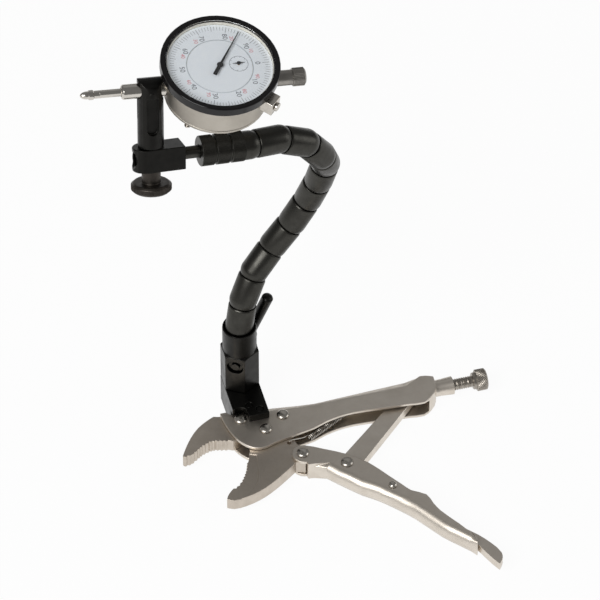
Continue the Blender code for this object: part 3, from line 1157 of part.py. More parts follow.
def hand_outline(reach, tail, width, tail_width, hub):
    """A tapered hand with a round hub, pointing along +X."""
    half, tail_half = width / 2, tail_width / 2
    clear = sqrt(hub ** 2 - half ** 2)
    tail_clear = sqrt(hub ** 2 - tail_half ** 2) if hub > tail_half else 0.0
    side = degrees(acos(clear / hub))
    tail_side = degrees(acos(tail_clear / hub))
    outline = [(reach, half / 4), (clear, half)] + arc((0, 0), hub, side, 180 - tail_side, 6)[1:]
    outline += [(-tail, tail_half), (-tail, -tail_half)] + arc((0, 0), hub, 180 + tail_side, 360 - side, 6)[:-1]
    return outline + [(clear, -half), (reach, -half / 4)]


def make_train():
    """The counter wheel on the rack, the centre pinion, and their hands."""
    centre_low = PLATE_LOW - GAP
    hand_low = DIAL_TOP + HAND_RISE + HAND_THICK + HAND_SPACING
    arbor_top = hand_low + HAND_THICK
    profile = [(ARBOR_RADIUS, centre_low), (ARBOR_RADIUS, GEAR_LOW), (PINION_RADIUS, GEAR_LOW),
               (PINION_RADIUS, GEAR_LOW + GEAR_THICK), (ARBOR_RADIUS, GEAR_LOW + GEAR_THICK), (ARBOR_RADIUS, arbor_top)]
    add_piece("centre_arbor", turned("centre_arbor", profile, 12), "bright", CASE_FRAME)
    shape = hand_outline(POINTER_REACH, POINTER_TAIL, POINTER_WIDTH, POINTER_TAIL_WIDTH, POINTER_HUB_RADIUS)
    turn = Matrix.Rotation(radians(POINTER_HEADING), 4, "Z")
    pointer = add_piece("pointer", prism("pointer", shape, hand_low, hand_low + HAND_THICK), "black_gloss",
                        CASE_FRAME @ turn)
    cutter(pointer, cylinder("hole", ARBOR_RADIUS + GAP, hand_low - OVERRUN, arbor_top + OVERRUN, 12), CASE_FRAME)

    small_low = DIAL_TOP + HAND_RISE
    small_top = small_low + HAND_THICK
    reach = SPINDLE_RADIUS + TURNED_CHAMFER
    profile = [(ARBOR_RADIUS, -reach - GAP), (RACK_PINION_RADIUS, -reach), (RACK_PINION_RADIUS, GEAR_LOW),
               (GEAR_RADIUS, GEAR_LOW), (GEAR_RADIUS, GEAR_LOW + GEAR_THICK), (ARBOR_RADIUS, GEAR_LOW + GEAR_THICK),
               (ARBOR_RADIUS, small_top)]
    add_piece("counter_gear", turned("counter_gear", profile, 32), "brass", COUNTER_FRAME)
    shape = hand_outline(COUNTER_HAND_REACH, COUNTER_HAND_TAIL, COUNTER_HAND_WIDTH, COUNTER_HAND_WIDTH, COUNTER_HUB_RADIUS + GAP)
    turn = Matrix.Rotation(radians(COUNTER_HEADING), 4, "Z")
    hand = add_piece("revolution_hand", prism("revolution_hand", shape, small_low, small_low + HAND_THICK), "black_gloss",
                     COUNTER_FRAME @ turn)
    cutter(hand, cylinder("hole", ARBOR_RADIUS + GAP, small_low - OVERRUN, small_top + OVERRUN, 12), COUNTER_FRAME)


def make_bezel_clamp():
    """A small block on the case's side whose screw nips the bezel."""
    frame = CASE_FRAME @ Matrix.Rotation(radians(CLAMP_BEARING), 4, "Z")
    near = CASE_RADIUS + GAP
    far = CASE_RADIUS + CLAMP_REACH
    high = BEZEL_LOW - GAP
    half = CLAMP_LENGTH / 2
    mesh = block("bezel_clamp", (near - TURNED_CHAMFER, far), (-half, half), (CLAMP_LOW, high))
    clamp = add_piece("bezel_clamp", mesh, "satin_case", frame, smooth=False)
    cutter(clamp, cylinder("case_form", CASE_RADIUS + GAP, CLAMP_LOW - OVERRUN, high + OVERRUN, 48), CASE_FRAME)
    middle = (CLAMP_LOW + high) / 2
    axis = frame @ Matrix.Translation((0, 0, middle)) @ ALONG_X
    cutter(clamp, cylinder("hole", CLAMP_SCREW_RADIUS + GAP, near + TURNED_CHAMFER, far + OVERRUN, 12), axis)
    head = far + GAP
    profile = [(CLAMP_SCREW_RADIUS, near + TURNED_CHAMFER + GAP), (CLAMP_SCREW_RADIUS, head), (CLAMP_SCREW_HEAD_RADIUS, head),
               (CLAMP_SCREW_HEAD_RADIUS, head + CLAMP_SCREW_HEAD_RISE)]
    add_piece("bezel_clamp_screw", turned("bezel_clamp_screw", profile, 16), "bright", axis)


make_upper_body()
make_upper_jaw()
make_lower_jaw()
make_lower_handle()
make_toggle_link()
make_release_lever()
make_rivets()
make_adjusting_screw()
make_return_spring()
make_bracket()
make_bracket_screws()
make_cam_housing()
make_cable_plunger()
make_cam()
make_arm_links()
make_end_fitting()
make_tension_cable()
make_rod_and_block()
make_post_and_knob()
make_case()
make_back_cover()
make_stem_and_cap()
make_spindle()
make_spindle_spring()
make_bezel()
make_dial_and_plate()
make_train()
make_bezel_clamp()
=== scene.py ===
import json
from math import acos, cos, pi, radians, sin, sqrt

import bmesh
import bpy
from mathutils import Matrix, Vector


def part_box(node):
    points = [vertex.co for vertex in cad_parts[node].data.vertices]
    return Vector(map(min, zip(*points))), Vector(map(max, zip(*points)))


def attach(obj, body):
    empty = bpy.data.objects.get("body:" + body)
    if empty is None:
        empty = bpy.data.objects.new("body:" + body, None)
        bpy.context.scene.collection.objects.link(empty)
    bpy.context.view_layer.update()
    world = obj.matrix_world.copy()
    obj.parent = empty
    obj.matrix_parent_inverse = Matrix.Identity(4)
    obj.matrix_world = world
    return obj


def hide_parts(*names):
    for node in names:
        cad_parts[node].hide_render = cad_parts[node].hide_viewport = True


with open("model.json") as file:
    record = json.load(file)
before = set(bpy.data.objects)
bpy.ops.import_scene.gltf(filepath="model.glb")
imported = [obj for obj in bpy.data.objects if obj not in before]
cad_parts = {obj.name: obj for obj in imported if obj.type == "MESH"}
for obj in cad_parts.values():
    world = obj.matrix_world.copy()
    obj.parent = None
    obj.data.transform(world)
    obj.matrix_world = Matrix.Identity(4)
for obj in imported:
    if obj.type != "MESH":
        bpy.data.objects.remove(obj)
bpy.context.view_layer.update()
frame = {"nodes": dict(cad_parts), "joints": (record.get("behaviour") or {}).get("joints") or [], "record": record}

# The camera looks down on the stand from its front left, as in the photograph. The floor is
# a pale sheet that the pliers rest on, under three large soft lamps and a plain grey room.
VIEW_TURN, VIEW_RISE = radians(-15), radians(47)
VIEW_DISTANCE = 3.0
VIEW_LENS = 333.0
VIEW_TARGET = Vector((0.034, 0.0, 0.073))
FLOOR_REACH = 6.0
FLOOR_DROP = 0.0002
LAMPS = {
    "lamp_key": ((-1.2, -1.0, 1.5), 1.2, 30.0),
    "lamp_side": ((1.7, -0.4, 0.8), 1.0, 5.0),
    "lamp_far": ((0.39, 1.45, 1.61), 1.7, 1.2),
}
ROOM_GREY = 0.20
FLOOR_GLOW = 0.95

scene = bpy.context.scene
scene.view_settings.view_transform = "Standard"
view_back = Vector((sin(VIEW_TURN) * cos(VIEW_RISE), -cos(VIEW_TURN) * cos(VIEW_RISE), sin(VIEW_RISE)))
camera_data = bpy.data.cameras.new("camera")
camera_data.lens = VIEW_LENS
camera = bpy.data.objects.new("camera", camera_data)
camera.location = VIEW_TARGET + view_back * VIEW_DISTANCE
camera.rotation_euler = view_back.to_track_quat("Z", "Y").to_euler()
scene.collection.objects.link(camera)
scene.camera = camera

for name, (spot, reach, power) in LAMPS.items():
    lamp_data = bpy.data.lights.new(name, "AREA")
    lamp_data.size = reach
    lamp_data.energy = power
    lamp = bpy.data.objects.new(name, lamp_data)
    lamp.location = spot
    lamp.rotation_euler = (Vector(spot) - VIEW_TARGET).to_track_quat("Z", "Y").to_euler()
    scene.collection.objects.link(lamp)


def linear(code):
    """An sRGB hex value as a linear colour."""
    shares = [int(code[i:i + 2], 16) / 255 for i in (1, 3, 5)]
    return (*[s / 12.92 if s <= 0.04045 else ((s + 0.055) / 1.055) ** 2.4 for s in shares], 1.0)


def add_node(tree, kind, values=None, **settings):
    """Add a node with its settings; each value is a number for a socket or the socket that feeds it."""
    node = tree.nodes.new(kind)
    for key, value in settings.items():
        setattr(node, key, value)
    for key, value in (values or {}).items():
        if isinstance(value, bpy.types.NodeSocket):
            tree.links.new(value, node.inputs[key])
        else:
            node.inputs[key].default_value = value
    return node


def new_material(name):
    """A material with nodes, and its tree, shader and Object coordinates."""
    material = bpy.data.materials.new(name)
    material.use_nodes = True
    tree = material.node_tree
    return material, tree, tree.nodes["Principled BSDF"], add_node(tree, "ShaderNodeTexCoord").outputs["Object"]


room = bpy.data.worlds.new("grey_room")
scene.world = room
room.use_nodes = True
room.node_tree.nodes["Background"].inputs["Color"].default_value = (ROOM_GREY, ROOM_GREY, ROOM_GREY, 1.0)

# Matt paper: it shows white to the eye and in metal and glass, and keeps a faint shadow
paper, tree, shader, place = new_material("matt_paper")
fibres = add_node(tree, "ShaderNodeTexNoise", {"Vector": place, "Scale": 1 / 0.004, "Detail": 2.0})
tint = add_node(tree, "ShaderNodeMix", {0: fibres.outputs["Fac"], 6: linear("#f4f4f3"), 7: linear("#ffffff")},
                data_type="RGBA")
tree.links.new(tint.outputs[2], shader.inputs["Base Color"])
shader.inputs["Roughness"].default_value = 0.9
rays = add_node(tree, "ShaderNodeLightPath").outputs
seen = add_node(tree, "ShaderNodeMath", {0: rays["Is Camera Ray"], 1: rays["Is Glossy Ray"]}, operation="ADD")
seen = add_node(tree, "ShaderNodeMath", {0: seen.outputs[0], 1: rays["Is Transmission Ray"]},
                operation="ADD", use_clamp=True)
seen = add_node(tree, "ShaderNodeMath", {0: seen.outputs[0], 1: FLOOR_GLOW}, operation="MULTIPLY")
glow = add_node(tree, "ShaderNodeEmission", {"Color": (1.0, 1.0, 1.0, 1.0), "Strength": 1.0})
mixed = add_node(tree, "ShaderNodeMixShader", {0: seen.outputs[0], 1: shader.outputs[0], 2: glow.outputs[0]})
tree.links.new(mixed.outputs[0], tree.nodes["Material Output"].inputs["Surface"])
floor_mesh = bpy.data.meshes.new("floor")
floor_mesh.from_pydata([(x, y, -FLOOR_DROP) for x, y in ((-FLOOR_REACH, -FLOOR_REACH), (FLOOR_REACH, -FLOOR_REACH),
                                                        (FLOOR_REACH, FLOOR_REACH), (-FLOOR_REACH, FLOOR_REACH))],
                       [], [(0, 1, 2, 3)])
floor = bpy.data.objects.new("floor", floor_mesh)
floor_mesh.materials.append(paper)
scene.collection.objects.link(floor)

# The pliers' plates, jaws and handles are stamped and forged steel under satin nickel plate,
# tumbled before plating: brownish grey flats with a fine grain, and soft bright edges.
MERGE = 0.000002
FLAT_ANGLE = radians(0.6)
SLOTS = {row["node"]: row["material_slot"] for row in frame["record"]["subparts"]}


def metal(name, dark, light, roughness, cloud, grain, depth):
    """A metal with cloudy tone and roughness and a fine grain; cloud, grain and depth are in metres."""
    material, tree, shader, place = new_material(name)
    shader.inputs["Metallic"].default_value = 1.0
    clouds = add_node(tree, "ShaderNodeTexNoise",
                      {"Vector": place, "Scale": 1 / cloud, "Detail": 5.0, "Roughness": 0.62})
    tone = add_node(tree, "ShaderNodeMix", {0: clouds.outputs["Fac"], 6: linear(dark), 7: linear(light)},
                    data_type="RGBA")
    tree.links.new(tone.outputs[2], shader.inputs["Base Color"])
    rubbed = add_node(tree, "ShaderNodeMapRange", {"Value": clouds.outputs["Fac"], "From Min": 0.3, "From Max": 0.7,
                                                   "To Min": roughness * 1.18, "To Max": roughness * 0.84})
    tree.links.new(rubbed.outputs["Result"], shader.inputs["Roughness"])
    specks = add_node(tree, "ShaderNodeTexNoise", {"Vector": place, "Scale": 1 / grain, "Detail": 2.0})
    bumps = add_node(tree, "ShaderNodeBump", {"Height": specks.outputs["Fac"], "Strength": 0.6, "Distance": depth})
    tree.links.new(bumps.outputs["Normal"], shader.inputs["Normal"])
    return material


def smoothed(mesh, angle):
    """Smooth shading with an edge kept sharp past an angle in degrees."""
    mesh.polygons.foreach_set("use_smooth", [True] * len(mesh.polygons))
    mesh.set_sharp_from_angle(angle=radians(angle))
    return mesh


def add_piece(name, mesh, material, body, slot, *nodes):
    """Put a finished mesh in the scene on its body, in place of the nodes that it stands for."""
    mesh.materials.clear()
    mesh.materials.append(material)
    piece = bpy.data.objects.new(name, mesh)
    scene.collection.objects.link(piece)
    if nodes:
        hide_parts(*nodes)
    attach(piece, body)
    return piece


def finish_node(node, body, material, edge=0.00018, angle=38):
    """A merged copy of a node's solid with smooth curves and broken edges, in the node's place."""
    work = bmesh.new()
    work.from_mesh(frame["nodes"][node].data)
    bmesh.ops.remove_doubles(work, verts=work.verts, dist=MERGE)
    bmesh.ops.dissolve_limit(work, angle_limit=FLAT_ANGLE, verts=work.verts, edges=work.edges)
    mesh = bpy.data.meshes.new(node + "_finished")
    work.to_mesh(mesh)
    work.free()
    piece = add_piece(node + "_finished", smoothed(mesh, angle), material, body, SLOTS[node], node)
    if edge:
        bevel = piece.modifiers.new("broken_edges", "BEVEL")
        bevel.width = edge
        bevel.segments = 2
        bevel.limit_method = "ANGLE"
        bevel.angle_limit = radians(angle)
        bevel.use_clamp_overlap = False
        bevel.harden_normals = True
    even = piece.modifiers.new("even_flats", "WEIGHTED_NORMAL")
    even.keep_sharp = True
    return piece


# Tumbling grain of about 0.35 mm and clouds of about 9 mm, where plate and handling differ
satin_nickel = metal("satin_nickel_plate_tumbled", "#cfc6ba", "#e8e0d5", 0.40, 0.009, 0.00035, 0.00003)
forged_nickel = metal("satin_nickel_plate_forged", "#beb4a7", "#d6ccc0", 0.42, 0.006, 0.0005, 0.00005)
finish_node("upper_body", "pliers_body", satin_nickel, 0.00030, 52)
finish_node("upper_jaw", "pliers_body", forged_nickel, 0.00025)
finish_node("lower_jaw", "lower_jaw", forged_nickel, 0.00025)
finish_node("lower_handle", "lower_handle", satin_nickel, 0.00030, 52)
finish_node("toggle_link", "toggle_link", satin_nickel)
finish_node("release_lever", "release_lever", satin_nickel)

# The rivets are bright steel with round snap heads, closed cold over the plates.
bright_steel = metal("bright_steel_turned", "#b9b3aa", "#d3cec6", 0.24, 0.003, 0.00025, 0.00001)
RIVET_SHANK_SHARE = 0.58
RIVET_RISE = 0.0015
RIVET_STEPS = 10

def turned_mesh(name, profile, sides=48, hollow=False):
    """Turn a profile of (radius, height) about Z; a hollow one closes on itself."""
    work = bmesh.new()
    rings = []
    for radius, height in profile:
        if radius == 0:
            rings.append([work.verts.new((0, 0, height))] * sides)
        else:
            rings.append([work.verts.new((radius * cos(2 * pi * i / sides), radius * sin(2 * pi * i / sides), height))
                          for i in range(sides)])
    pairs = list(zip(rings, rings[1:]))
    if hollow:
        pairs.append((rings[-1], rings[0]))
    for low, high in pairs:
        for i in range(sides):
            j = (i + 1) % sides
            corners = list(dict.fromkeys((low[i], low[j], high[j], high[i])))
            if len(corners) > 2:
                work.faces.new(corners)
    for ring in () if hollow else (rings[0], rings[-1]):
        if len(set(ring)) > 2:
            work.faces.new(ring)
    bmesh.ops.recalc_face_normals(work, faces=work.faces)
    mesh = bpy.data.meshes.new(name)
    work.to_mesh(mesh)
    work.free()
    return mesh


def axis_frame(point, along, side=None):
    """A frame at a point with its Z along a direction and its X near a side."""
    z = Vector(along).normalized()
    side = Vector(side) if side is not None else z.orthogonal()
    x = (side - z * side.dot(z)).normalized()
    turn = Matrix((x, z.cross(x), z)).transposed()
    return Matrix.Translation(point) @ turn.to_4x4()


for node, body in (("fixed_jaw_rivet_1", "pliers_body"), ("fixed_jaw_rivet_2", "pliers_body"),
                   ("jaw_pivot_rivet", "pliers_body"), ("handle_pivot_rivet", "lower_jaw"),
                   ("toggle_rivet", "lower_handle"), ("release_rivet", "lower_handle")):
    low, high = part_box(node)
    head = (high[0] - low[0]) / 2
    dome = [(head * cos(radians(90 * i / RIVET_STEPS)), RIVET_RISE * (sin(radians(90 * i / RIVET_STEPS)) - 1))
            for i in range(RIVET_STEPS)] + [(0.0, 0.0)]
    shank = [(head * RIVET_SHANK_SHARE, low[2] + RIVET_RISE), (head * RIVET_SHANK_SHARE, high[2] - RIVET_RISE)]
    rivet = turned_mesh(node + "_headed", [(radius, low[2] - rise) for radius, rise in dome[::-1]] + shank
                        + [(radius, high[2] + rise) for radius, rise in dome])
    rivet.transform(Matrix.Translation(((low[0] + high[0]) / 2, (low[1] + high[1]) / 2, 0.0)))
    add_piece(node + "_headed", smoothed(rivet, 38), bright_steel, body, SLOTS[node], node)

# The adjusting screw is turned steel with a rolled thread of 1.25 mm pitch and a diamond
# knurled head, drilled at its end. The thread and the knurl are ridges on a turned core.
THREAD_PITCH = 0.00125
THREAD_CORE = 0.00285
THREAD_RIDGE = 0.00042
THREAD_STEPS = 28
HEAD_LENGTH = 0.0062
HEAD_CORE = 0.00575
HEAD_RIDGE = 0.00026
HEAD_RIDGES = 30
HEAD_BREAK = 0.0006
FLANGE_LENGTH = 0.0016
FLANGE_RADIUS = 0.0047
DRILLED_RADIUS = 0.0017
DRILLED_DEPTH = 0.0060

screw_steel = metal("steel_rolled_thread_dull", "#98928a", "#b4ada3", 0.36, 0.003, 0.00025, 0.00001)


def new_tree(name, sizes):
    """A Geometry Nodes tree with named inputs and a Finish material input; gives the tree and its input node's
    sockets.
    """
    tree = bpy.data.node_groups.new(name, "GeometryNodeTree")
    tree.interface.new_socket("Geometry", in_out="INPUT", socket_type="NodeSocketGeometry")
    for size, kind in sizes:
        tree.interface.new_socket(size, in_out="INPUT", socket_type="NodeSocket" + kind)
    tree.interface.new_socket("Finish", in_out="INPUT", socket_type="NodeSocketMaterial")
    tree.interface.new_socket("Geometry", in_out="OUTPUT", socket_type="NodeSocketGeometry")
    return tree, tree.nodes.new("NodeGroupInput").outputs


def end_tree(tree, entry, geometry):
    """End a tree in Realize Instances and Set Material."""
    real = add_node(tree, "GeometryNodeRealizeInstances", {"Geometry": geometry})
    finished = add_node(tree, "GeometryNodeSetMaterial", {"Geometry": real.outputs[0], "Material": entry["Finish"]})
    add_node(tree, "NodeGroupOutput", {"Geometry": finished.outputs[0]})


def grown(mesh, tree, material, angle=38, **values):
    """The plain mesh that a tree makes from a mesh."""
    holder = bpy.data.objects.new("holder", mesh)
    scene.collection.objects.link(holder)
    modifier = holder.modifiers.new("tree", "NODES")
    modifier.node_group = tree
    values["Finish"] = material
    for item in tree.interface.items_tree:
        if item.in_out == "INPUT" and item.name in values:
            modifier[item.identifier] = values[item.name]
    bpy.context.view_layer.update()
    result = bpy.data.meshes.new_from_object(holder.evaluated_get(bpy.context.evaluated_depsgraph_get()))
    bpy.data.objects.remove(holder)
    return smoothed(result, angle)


# Wire of round section along every open line of a mesh
wire_tree, entry = new_tree("wire_on_lines", (("Wire_Radius", "Float"), ("Wire_Sides", "Int")))
lines = add_node(wire_tree, "GeometryNodeMeshToCurve", {"Mesh": entry["Geometry"]})
section = add_node(wire_tree, "GeometryNodeCurvePrimitiveCircle",
                   {"Resolution": entry["Wire_Sides"], "Radius": entry["Wire_Radius"]})
wire = add_node(wire_tree, "GeometryNodeCurveToMesh",
                {"Curve": lines.outputs[0], "Profile Curve": section.outputs[0], "Fill Caps": True})
end_tree(wire_tree, entry, wire.outputs[0])


def lines_mesh(routes):
    """Open lines as a mesh of edges."""
    points, edges = [], []
    for route in routes:
        first = len(points)
        points += [tuple(point) for point in route]
        edges += [(first + i, first + i + 1) for i in range(len(route) - 1)]
    mesh = bpy.data.meshes.new("lines")
    mesh.from_pydata(points, edges, [])
    return mesh


def helix(radius, low, high, turns, start, steps):
    """Points of a helix about Z from one height to another."""
    return [(radius * cos(start + 2 * pi * turns * i / steps), radius * sin(start + 2 * pi * turns * i / steps),
             low + (high - low) * i / steps) for i in range(steps + 1)]


def joined(name, meshes, place):
    """Meshes as one, moved to their place."""
    work = bmesh.new()
    for mesh in meshes:
        work.from_mesh(mesh)
    result = bpy.data.meshes.new(name)
    work.to_mesh(result)
    work.free()
    result.transform(place)
    return result


low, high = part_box("adjusting_screw")
screw_frame = axis_frame((0.0, (low[1] + high[1]) / 2, (low[2] + high[2]) / 2), (1, 0, 0))
tip, end = low[0], high[0]
grip = end - HEAD_LENGTH
shoulder = grip - FLANGE_LENGTH
core = turned_mesh("core", [
    (0.0, tip), (THREAD_CORE - HEAD_BREAK, tip), (THREAD_CORE, tip + HEAD_BREAK), (THREAD_CORE, shoulder),
    (FLANGE_RADIUS - HEAD_RIDGE, shoulder), (FLANGE_RADIUS, shoulder + HEAD_RIDGE), (FLANGE_RADIUS, grip),
    (HEAD_CORE - HEAD_BREAK, grip), (HEAD_CORE, grip + HEAD_BREAK), (HEAD_CORE, end - HEAD_BREAK),
    (HEAD_CORE - HEAD_BREAK, end), (DRILLED_RADIUS, end), (DRILLED_RADIUS, end - DRILLED_DEPTH),
    (0.0, end - DRILLED_DEPTH - DRILLED_RADIUS)])
turns = (shoulder - tip) / THREAD_PITCH - 1
thread = helix(THREAD_CORE, tip + THREAD_PITCH / 2, shoulder - THREAD_PITCH / 2, turns, 0, int(turns * THREAD_STEPS))
thread = grown(lines_mesh([thread]), wire_tree, screw_steel, Wire_Radius=THREAD_RIDGE, Wire_Sides=6)
lean = (HEAD_LENGTH - 2 * HEAD_BREAK) / (2 * pi * HEAD_CORE)
knurl = [helix(HEAD_CORE, grip + HEAD_BREAK, end - HEAD_BREAK, hand * lean, 2 * pi * i / HEAD_RIDGES, 8)
         for i in range(HEAD_RIDGES) for hand in (-1, 1)]
knurl = grown(lines_mesh(knurl), wire_tree, screw_steel, Wire_Radius=HEAD_RIDGE, Wire_Sides=4)
screw = joined("adjusting_screw_threaded", [smoothed(core, 38), thread, knurl], screw_frame)
add_piece("adjusting_screw_threaded", screw,
          screw_steel, "adjusting_screw", "screw_steel", "adjusting_screw")

# The return spring is a close coil of music wire, hooked through the lower jaw's hole and
# run straight to the upper body's web at its other end.
SPRING_FROM = Vector((0.0280, -0.0416, 0.0080))
SPRING_TO = Vector((0.0524, -0.0286, 0.0080))
SPRING_HOLE = Vector((0.0156, -0.0458, 0.0122))
SPRING_RADIUS = 0.0017
SPRING_WIRE = 0.00033
SPRING_TURNS = 26
SPRING_STEPS = 20
SPRING_RISE = 0.0016
SPRING_WEB = -0.0229

spring_wire = metal("music_wire_drawn", "#8f8b85", "#b5b0a8", 0.28, 0.002, 0.0002, 0.000008)
spring_way = (SPRING_TO - SPRING_FROM).normalized()
spring_place = axis_frame(SPRING_FROM, spring_way)
coil = [spring_place @ Vector(point) for point in
        helix(SPRING_RADIUS, 0.0, (SPRING_TO - SPRING_FROM).length, SPRING_TURNS, 0, SPRING_TURNS * SPRING_STEPS)]
rise = Vector((0, 0, SPRING_RISE))
route = [SPRING_HOLE - rise, SPRING_HOLE, SPRING_HOLE + rise * 0.8,
         SPRING_HOLE + rise + (SPRING_FROM - SPRING_HOLE) * 0.12, coil[0] - spring_way * SPRING_RADIUS * 1.5] + coil
last = coil[-1] + spring_way * SPRING_RADIUS
route += [last, Vector((last.x + SPRING_RADIUS, last.y + SPRING_RADIUS, last.z)),
          Vector((last.x + SPRING_RADIUS, SPRING_WEB, last.z))]
spring = grown(lines_mesh([route]), wire_tree, spring_wire, Wire_Radius=SPRING_WIRE, Wire_Sides=8)
add_piece("return_spring_coiled", spring,
          spring_wire, "pliers_body", "spring_steel", "return_spring")

# The bracket is milled steel, screwed to the upper cheek; the housing is hexagon bar turned
# down to a collar. Both are black oxide, dark with a soft oily gloss, paler on broken edges.
black_oxide = metal("black_oxide_steel_milled", "#232322", "#363533", 0.36, 0.006, 0.0003, 0.00002)
finish_node("bracket", "pliers_body", black_oxide, 0.0003)
finish_node("bracket_screw_1", "pliers_body", black_oxide)
finish_node("bracket_screw_2", "pliers_body", black_oxide)
finish_node("cam_housing", "pliers_body", black_oxide, 0.0003)

# The cam's cross shaft, its retaining screw and its lever are turned and blacked; the lever
# is pinned in the shaft's boss. Inside the housing the cam draws a bright plunger down.
for node in ("cam_shaft", "cam_lever", "cam_set_screw"):
    finish_node(node, "cam", black_oxide, 0.0003)
finish_node("cable_plunger", "cable_plunger", bright_steel)

# Eleven ball-and-cup links are turned from bar and blacked. Each ball sits in the cup of the
# link below it, and the rims are broken so that each joint shows as a fine line.
LINK_RADIUS = 0.00765
LINK_SEAT = 0.00795
LINK_PITCH = 0.0180
LINK_RIM_DROP = 0.0036
LINK_BORE = 0.0030
LINK_MOUTH = 0.0042
LINK_BREAK = 0.0004
LINK_COUNT = 11
BALL_STEPS = 10

oxide_turned = metal("black_oxide_steel_turned", "#393835", "#4c4b47", 0.34, 0.004, 0.00022, 0.00001)
joints = {row["name"]: row for row in frame["joints"]}
ball_places = [Vector(joints["ball_%02d" % i]["pos_m"]) for i in range(LINK_COUNT + 1)]
rod_way = Vector(joints["rod_swivel"]["axis"])


def ball_profile(radius, bore, steps):
    """A ball end's profile, from its bore up to its widest ring."""
    first = -acos(bore / radius)
    return [(radius * cos(first * (1 - i / steps)), radius * sin(first * (1 - i / steps))) for i in range(steps + 1)]


rim = LINK_PITCH - LINK_RIM_DROP
rim_radius = sqrt(LINK_SEAT ** 2 - LINK_RIM_DROP ** 2)
link_profile = ball_profile(LINK_RADIUS, LINK_MOUTH, BALL_STEPS)
link_profile += [(LINK_RADIUS, rim - 2 * LINK_BREAK), (LINK_RADIUS - LINK_BREAK / 4, rim - LINK_BREAK),
                 (LINK_RADIUS - LINK_BREAK, rim)]
first, final = acos(rim_radius / LINK_SEAT), acos(LINK_BORE / LINK_SEAT)
link_profile += [(LINK_SEAT * cos(first + (final - first) * i / BALL_STEPS),
                  LINK_PITCH - LINK_SEAT * sin(first + (final - first) * i / BALL_STEPS))
                 for i in range(BALL_STEPS + 1)]

# One turned link set at a joint's centre and aimed along its way
link_tree, entry = new_tree("link_at_joint", (("Joint_Centre", "Vector"), ("Link_Way", "Vector")))
spot = add_node(link_tree, "GeometryNodePoints", {"Count": 1, "Position": entry["Joint_Centre"]})
aim = add_node(link_tree, "FunctionNodeAlignRotationToVector", {"Vector": entry["Link_Way"]}, axis="Z")
link = add_node(link_tree, "GeometryNodeInstanceOnPoints",
                {"Points": spot.outputs[0], "Instance": entry["Geometry"], "Rotation": aim.outputs[0]})
end_tree(link_tree, entry, link.outputs[0])
for i in range(LINK_COUNT):
    node = "arm_link_%02d" % i
    way = (ball_places[i + 1] - ball_places[i]).normalized()
    mesh = grown(turned_mesh(node, link_profile, hollow=True), link_tree, oxide_turned,
                 Joint_Centre=ball_places[i], Link_Way=way)
    add_piece(node + "_turned", mesh, oxide_turned, node, "link_black", node)

# The end fitting is a turned sleeve with three finely knurled bands between two grooves; the
# last ball is part of it, and the swivel rod is gripped in its bore.
FITTING_BAND = 0.0079
FITTING_GROOVE = 0.0070
FITTING_GROOVE_WIDTH = 0.0010
FITTING_SHOULDER = 0.0035
FITTING_LENGTH = 0.0270
FITTING_BREAK = 0.0003
FITTING_RIDGES = 84
FITTING_RIDGE = 0.00022
ROD_BORE = 0.0036
ROD_SEAT = 0.0097

# Ridges around a turned piece: small bars laid along the axis, on edge when twisted
ridge_tree, entry = new_tree("ridges_around", (("Count", "Int"), ("Radius", "Float"), ("Bar", "Vector"),
                                               ("Middle", "Vector"), ("Twist", "Vector")))
circle = add_node(ridge_tree, "GeometryNodeMeshCircle", {"Vertices": entry["Count"], "Radius": entry["Radius"]})
bar = add_node(ridge_tree, "GeometryNodeMeshCube", {"Size": entry["Bar"]})
outward = add_node(ridge_tree, "FunctionNodeAlignRotationToVector",
                   {"Vector": add_node(ridge_tree, "GeometryNodeInputPosition").outputs[0]}, axis="X")
bars = add_node(ridge_tree, "GeometryNodeInstanceOnPoints",
                {"Points": circle.outputs[0], "Instance": bar.outputs[0], "Rotation": outward.outputs[0]})
bars = add_node(ridge_tree, "GeometryNodeRotateInstances", {"Instances": bars.outputs[0], "Rotation": entry["Twist"]})
raised = add_node(ridge_tree, "GeometryNodeTransform", {"Geometry": bars.outputs[0], "Translation": entry["Middle"]})
both = add_node(ridge_tree, "GeometryNodeJoinGeometry", {"Geometry": entry["Geometry"]})
ridge_tree.links.new(raised.outputs[0], both.inputs["Geometry"])
end_tree(ridge_tree, entry, both.outputs[0])


def knurled(mesh, material, count, radius, ridge, low, high):
    """A turned mesh with a straight knurl between two heights."""
    return grown(mesh, ridge_tree, material, Count=count, Radius=radius, Bar=(ridge, ridge, high - low),
                 Middle=(0.0, 0.0, (low + high) / 2), Twist=(0.0, 0.0, radians(45)))


band = (FITTING_LENGTH - FITTING_SHOULDER - 2 * FITTING_GROOVE_WIDTH) / 3
profile = ball_profile(LINK_RADIUS, LINK_MOUTH, BALL_STEPS) + [(LINK_RADIUS, FITTING_SHOULDER)]
spans = []
for i in range(3):
    foot = FITTING_SHOULDER + i * (band + FITTING_GROOVE_WIDTH)
    spans.append((foot + FITTING_BREAK, foot + band - FITTING_BREAK))
    profile += [(FITTING_BAND - FITTING_BREAK, foot), (FITTING_BAND, foot + FITTING_BREAK),
                (FITTING_BAND, foot + band - FITTING_BREAK), (FITTING_BAND - FITTING_BREAK, foot + band)]
    if i < 2:
        profile += [(FITTING_GROOVE, foot + band), (FITTING_GROOVE, foot + band + FITTING_GROOVE_WIDTH)]
profile += [(ROD_BORE + FITTING_BREAK, FITTING_LENGTH), (ROD_BORE, FITTING_LENGTH - FITTING_BREAK),
            (ROD_BORE, ROD_SEAT), (LINK_BORE, ROD_SEAT)]
fitting = turned_mesh("fitting", profile, 64, hollow=True)
for low, high in spans:
    fitting = knurled(fitting, oxide_turned, FITTING_RIDGES, FITTING_BAND, FITTING_RIDGE, low, high)
fitting.transform(axis_frame(ball_places[-1], rod_way))
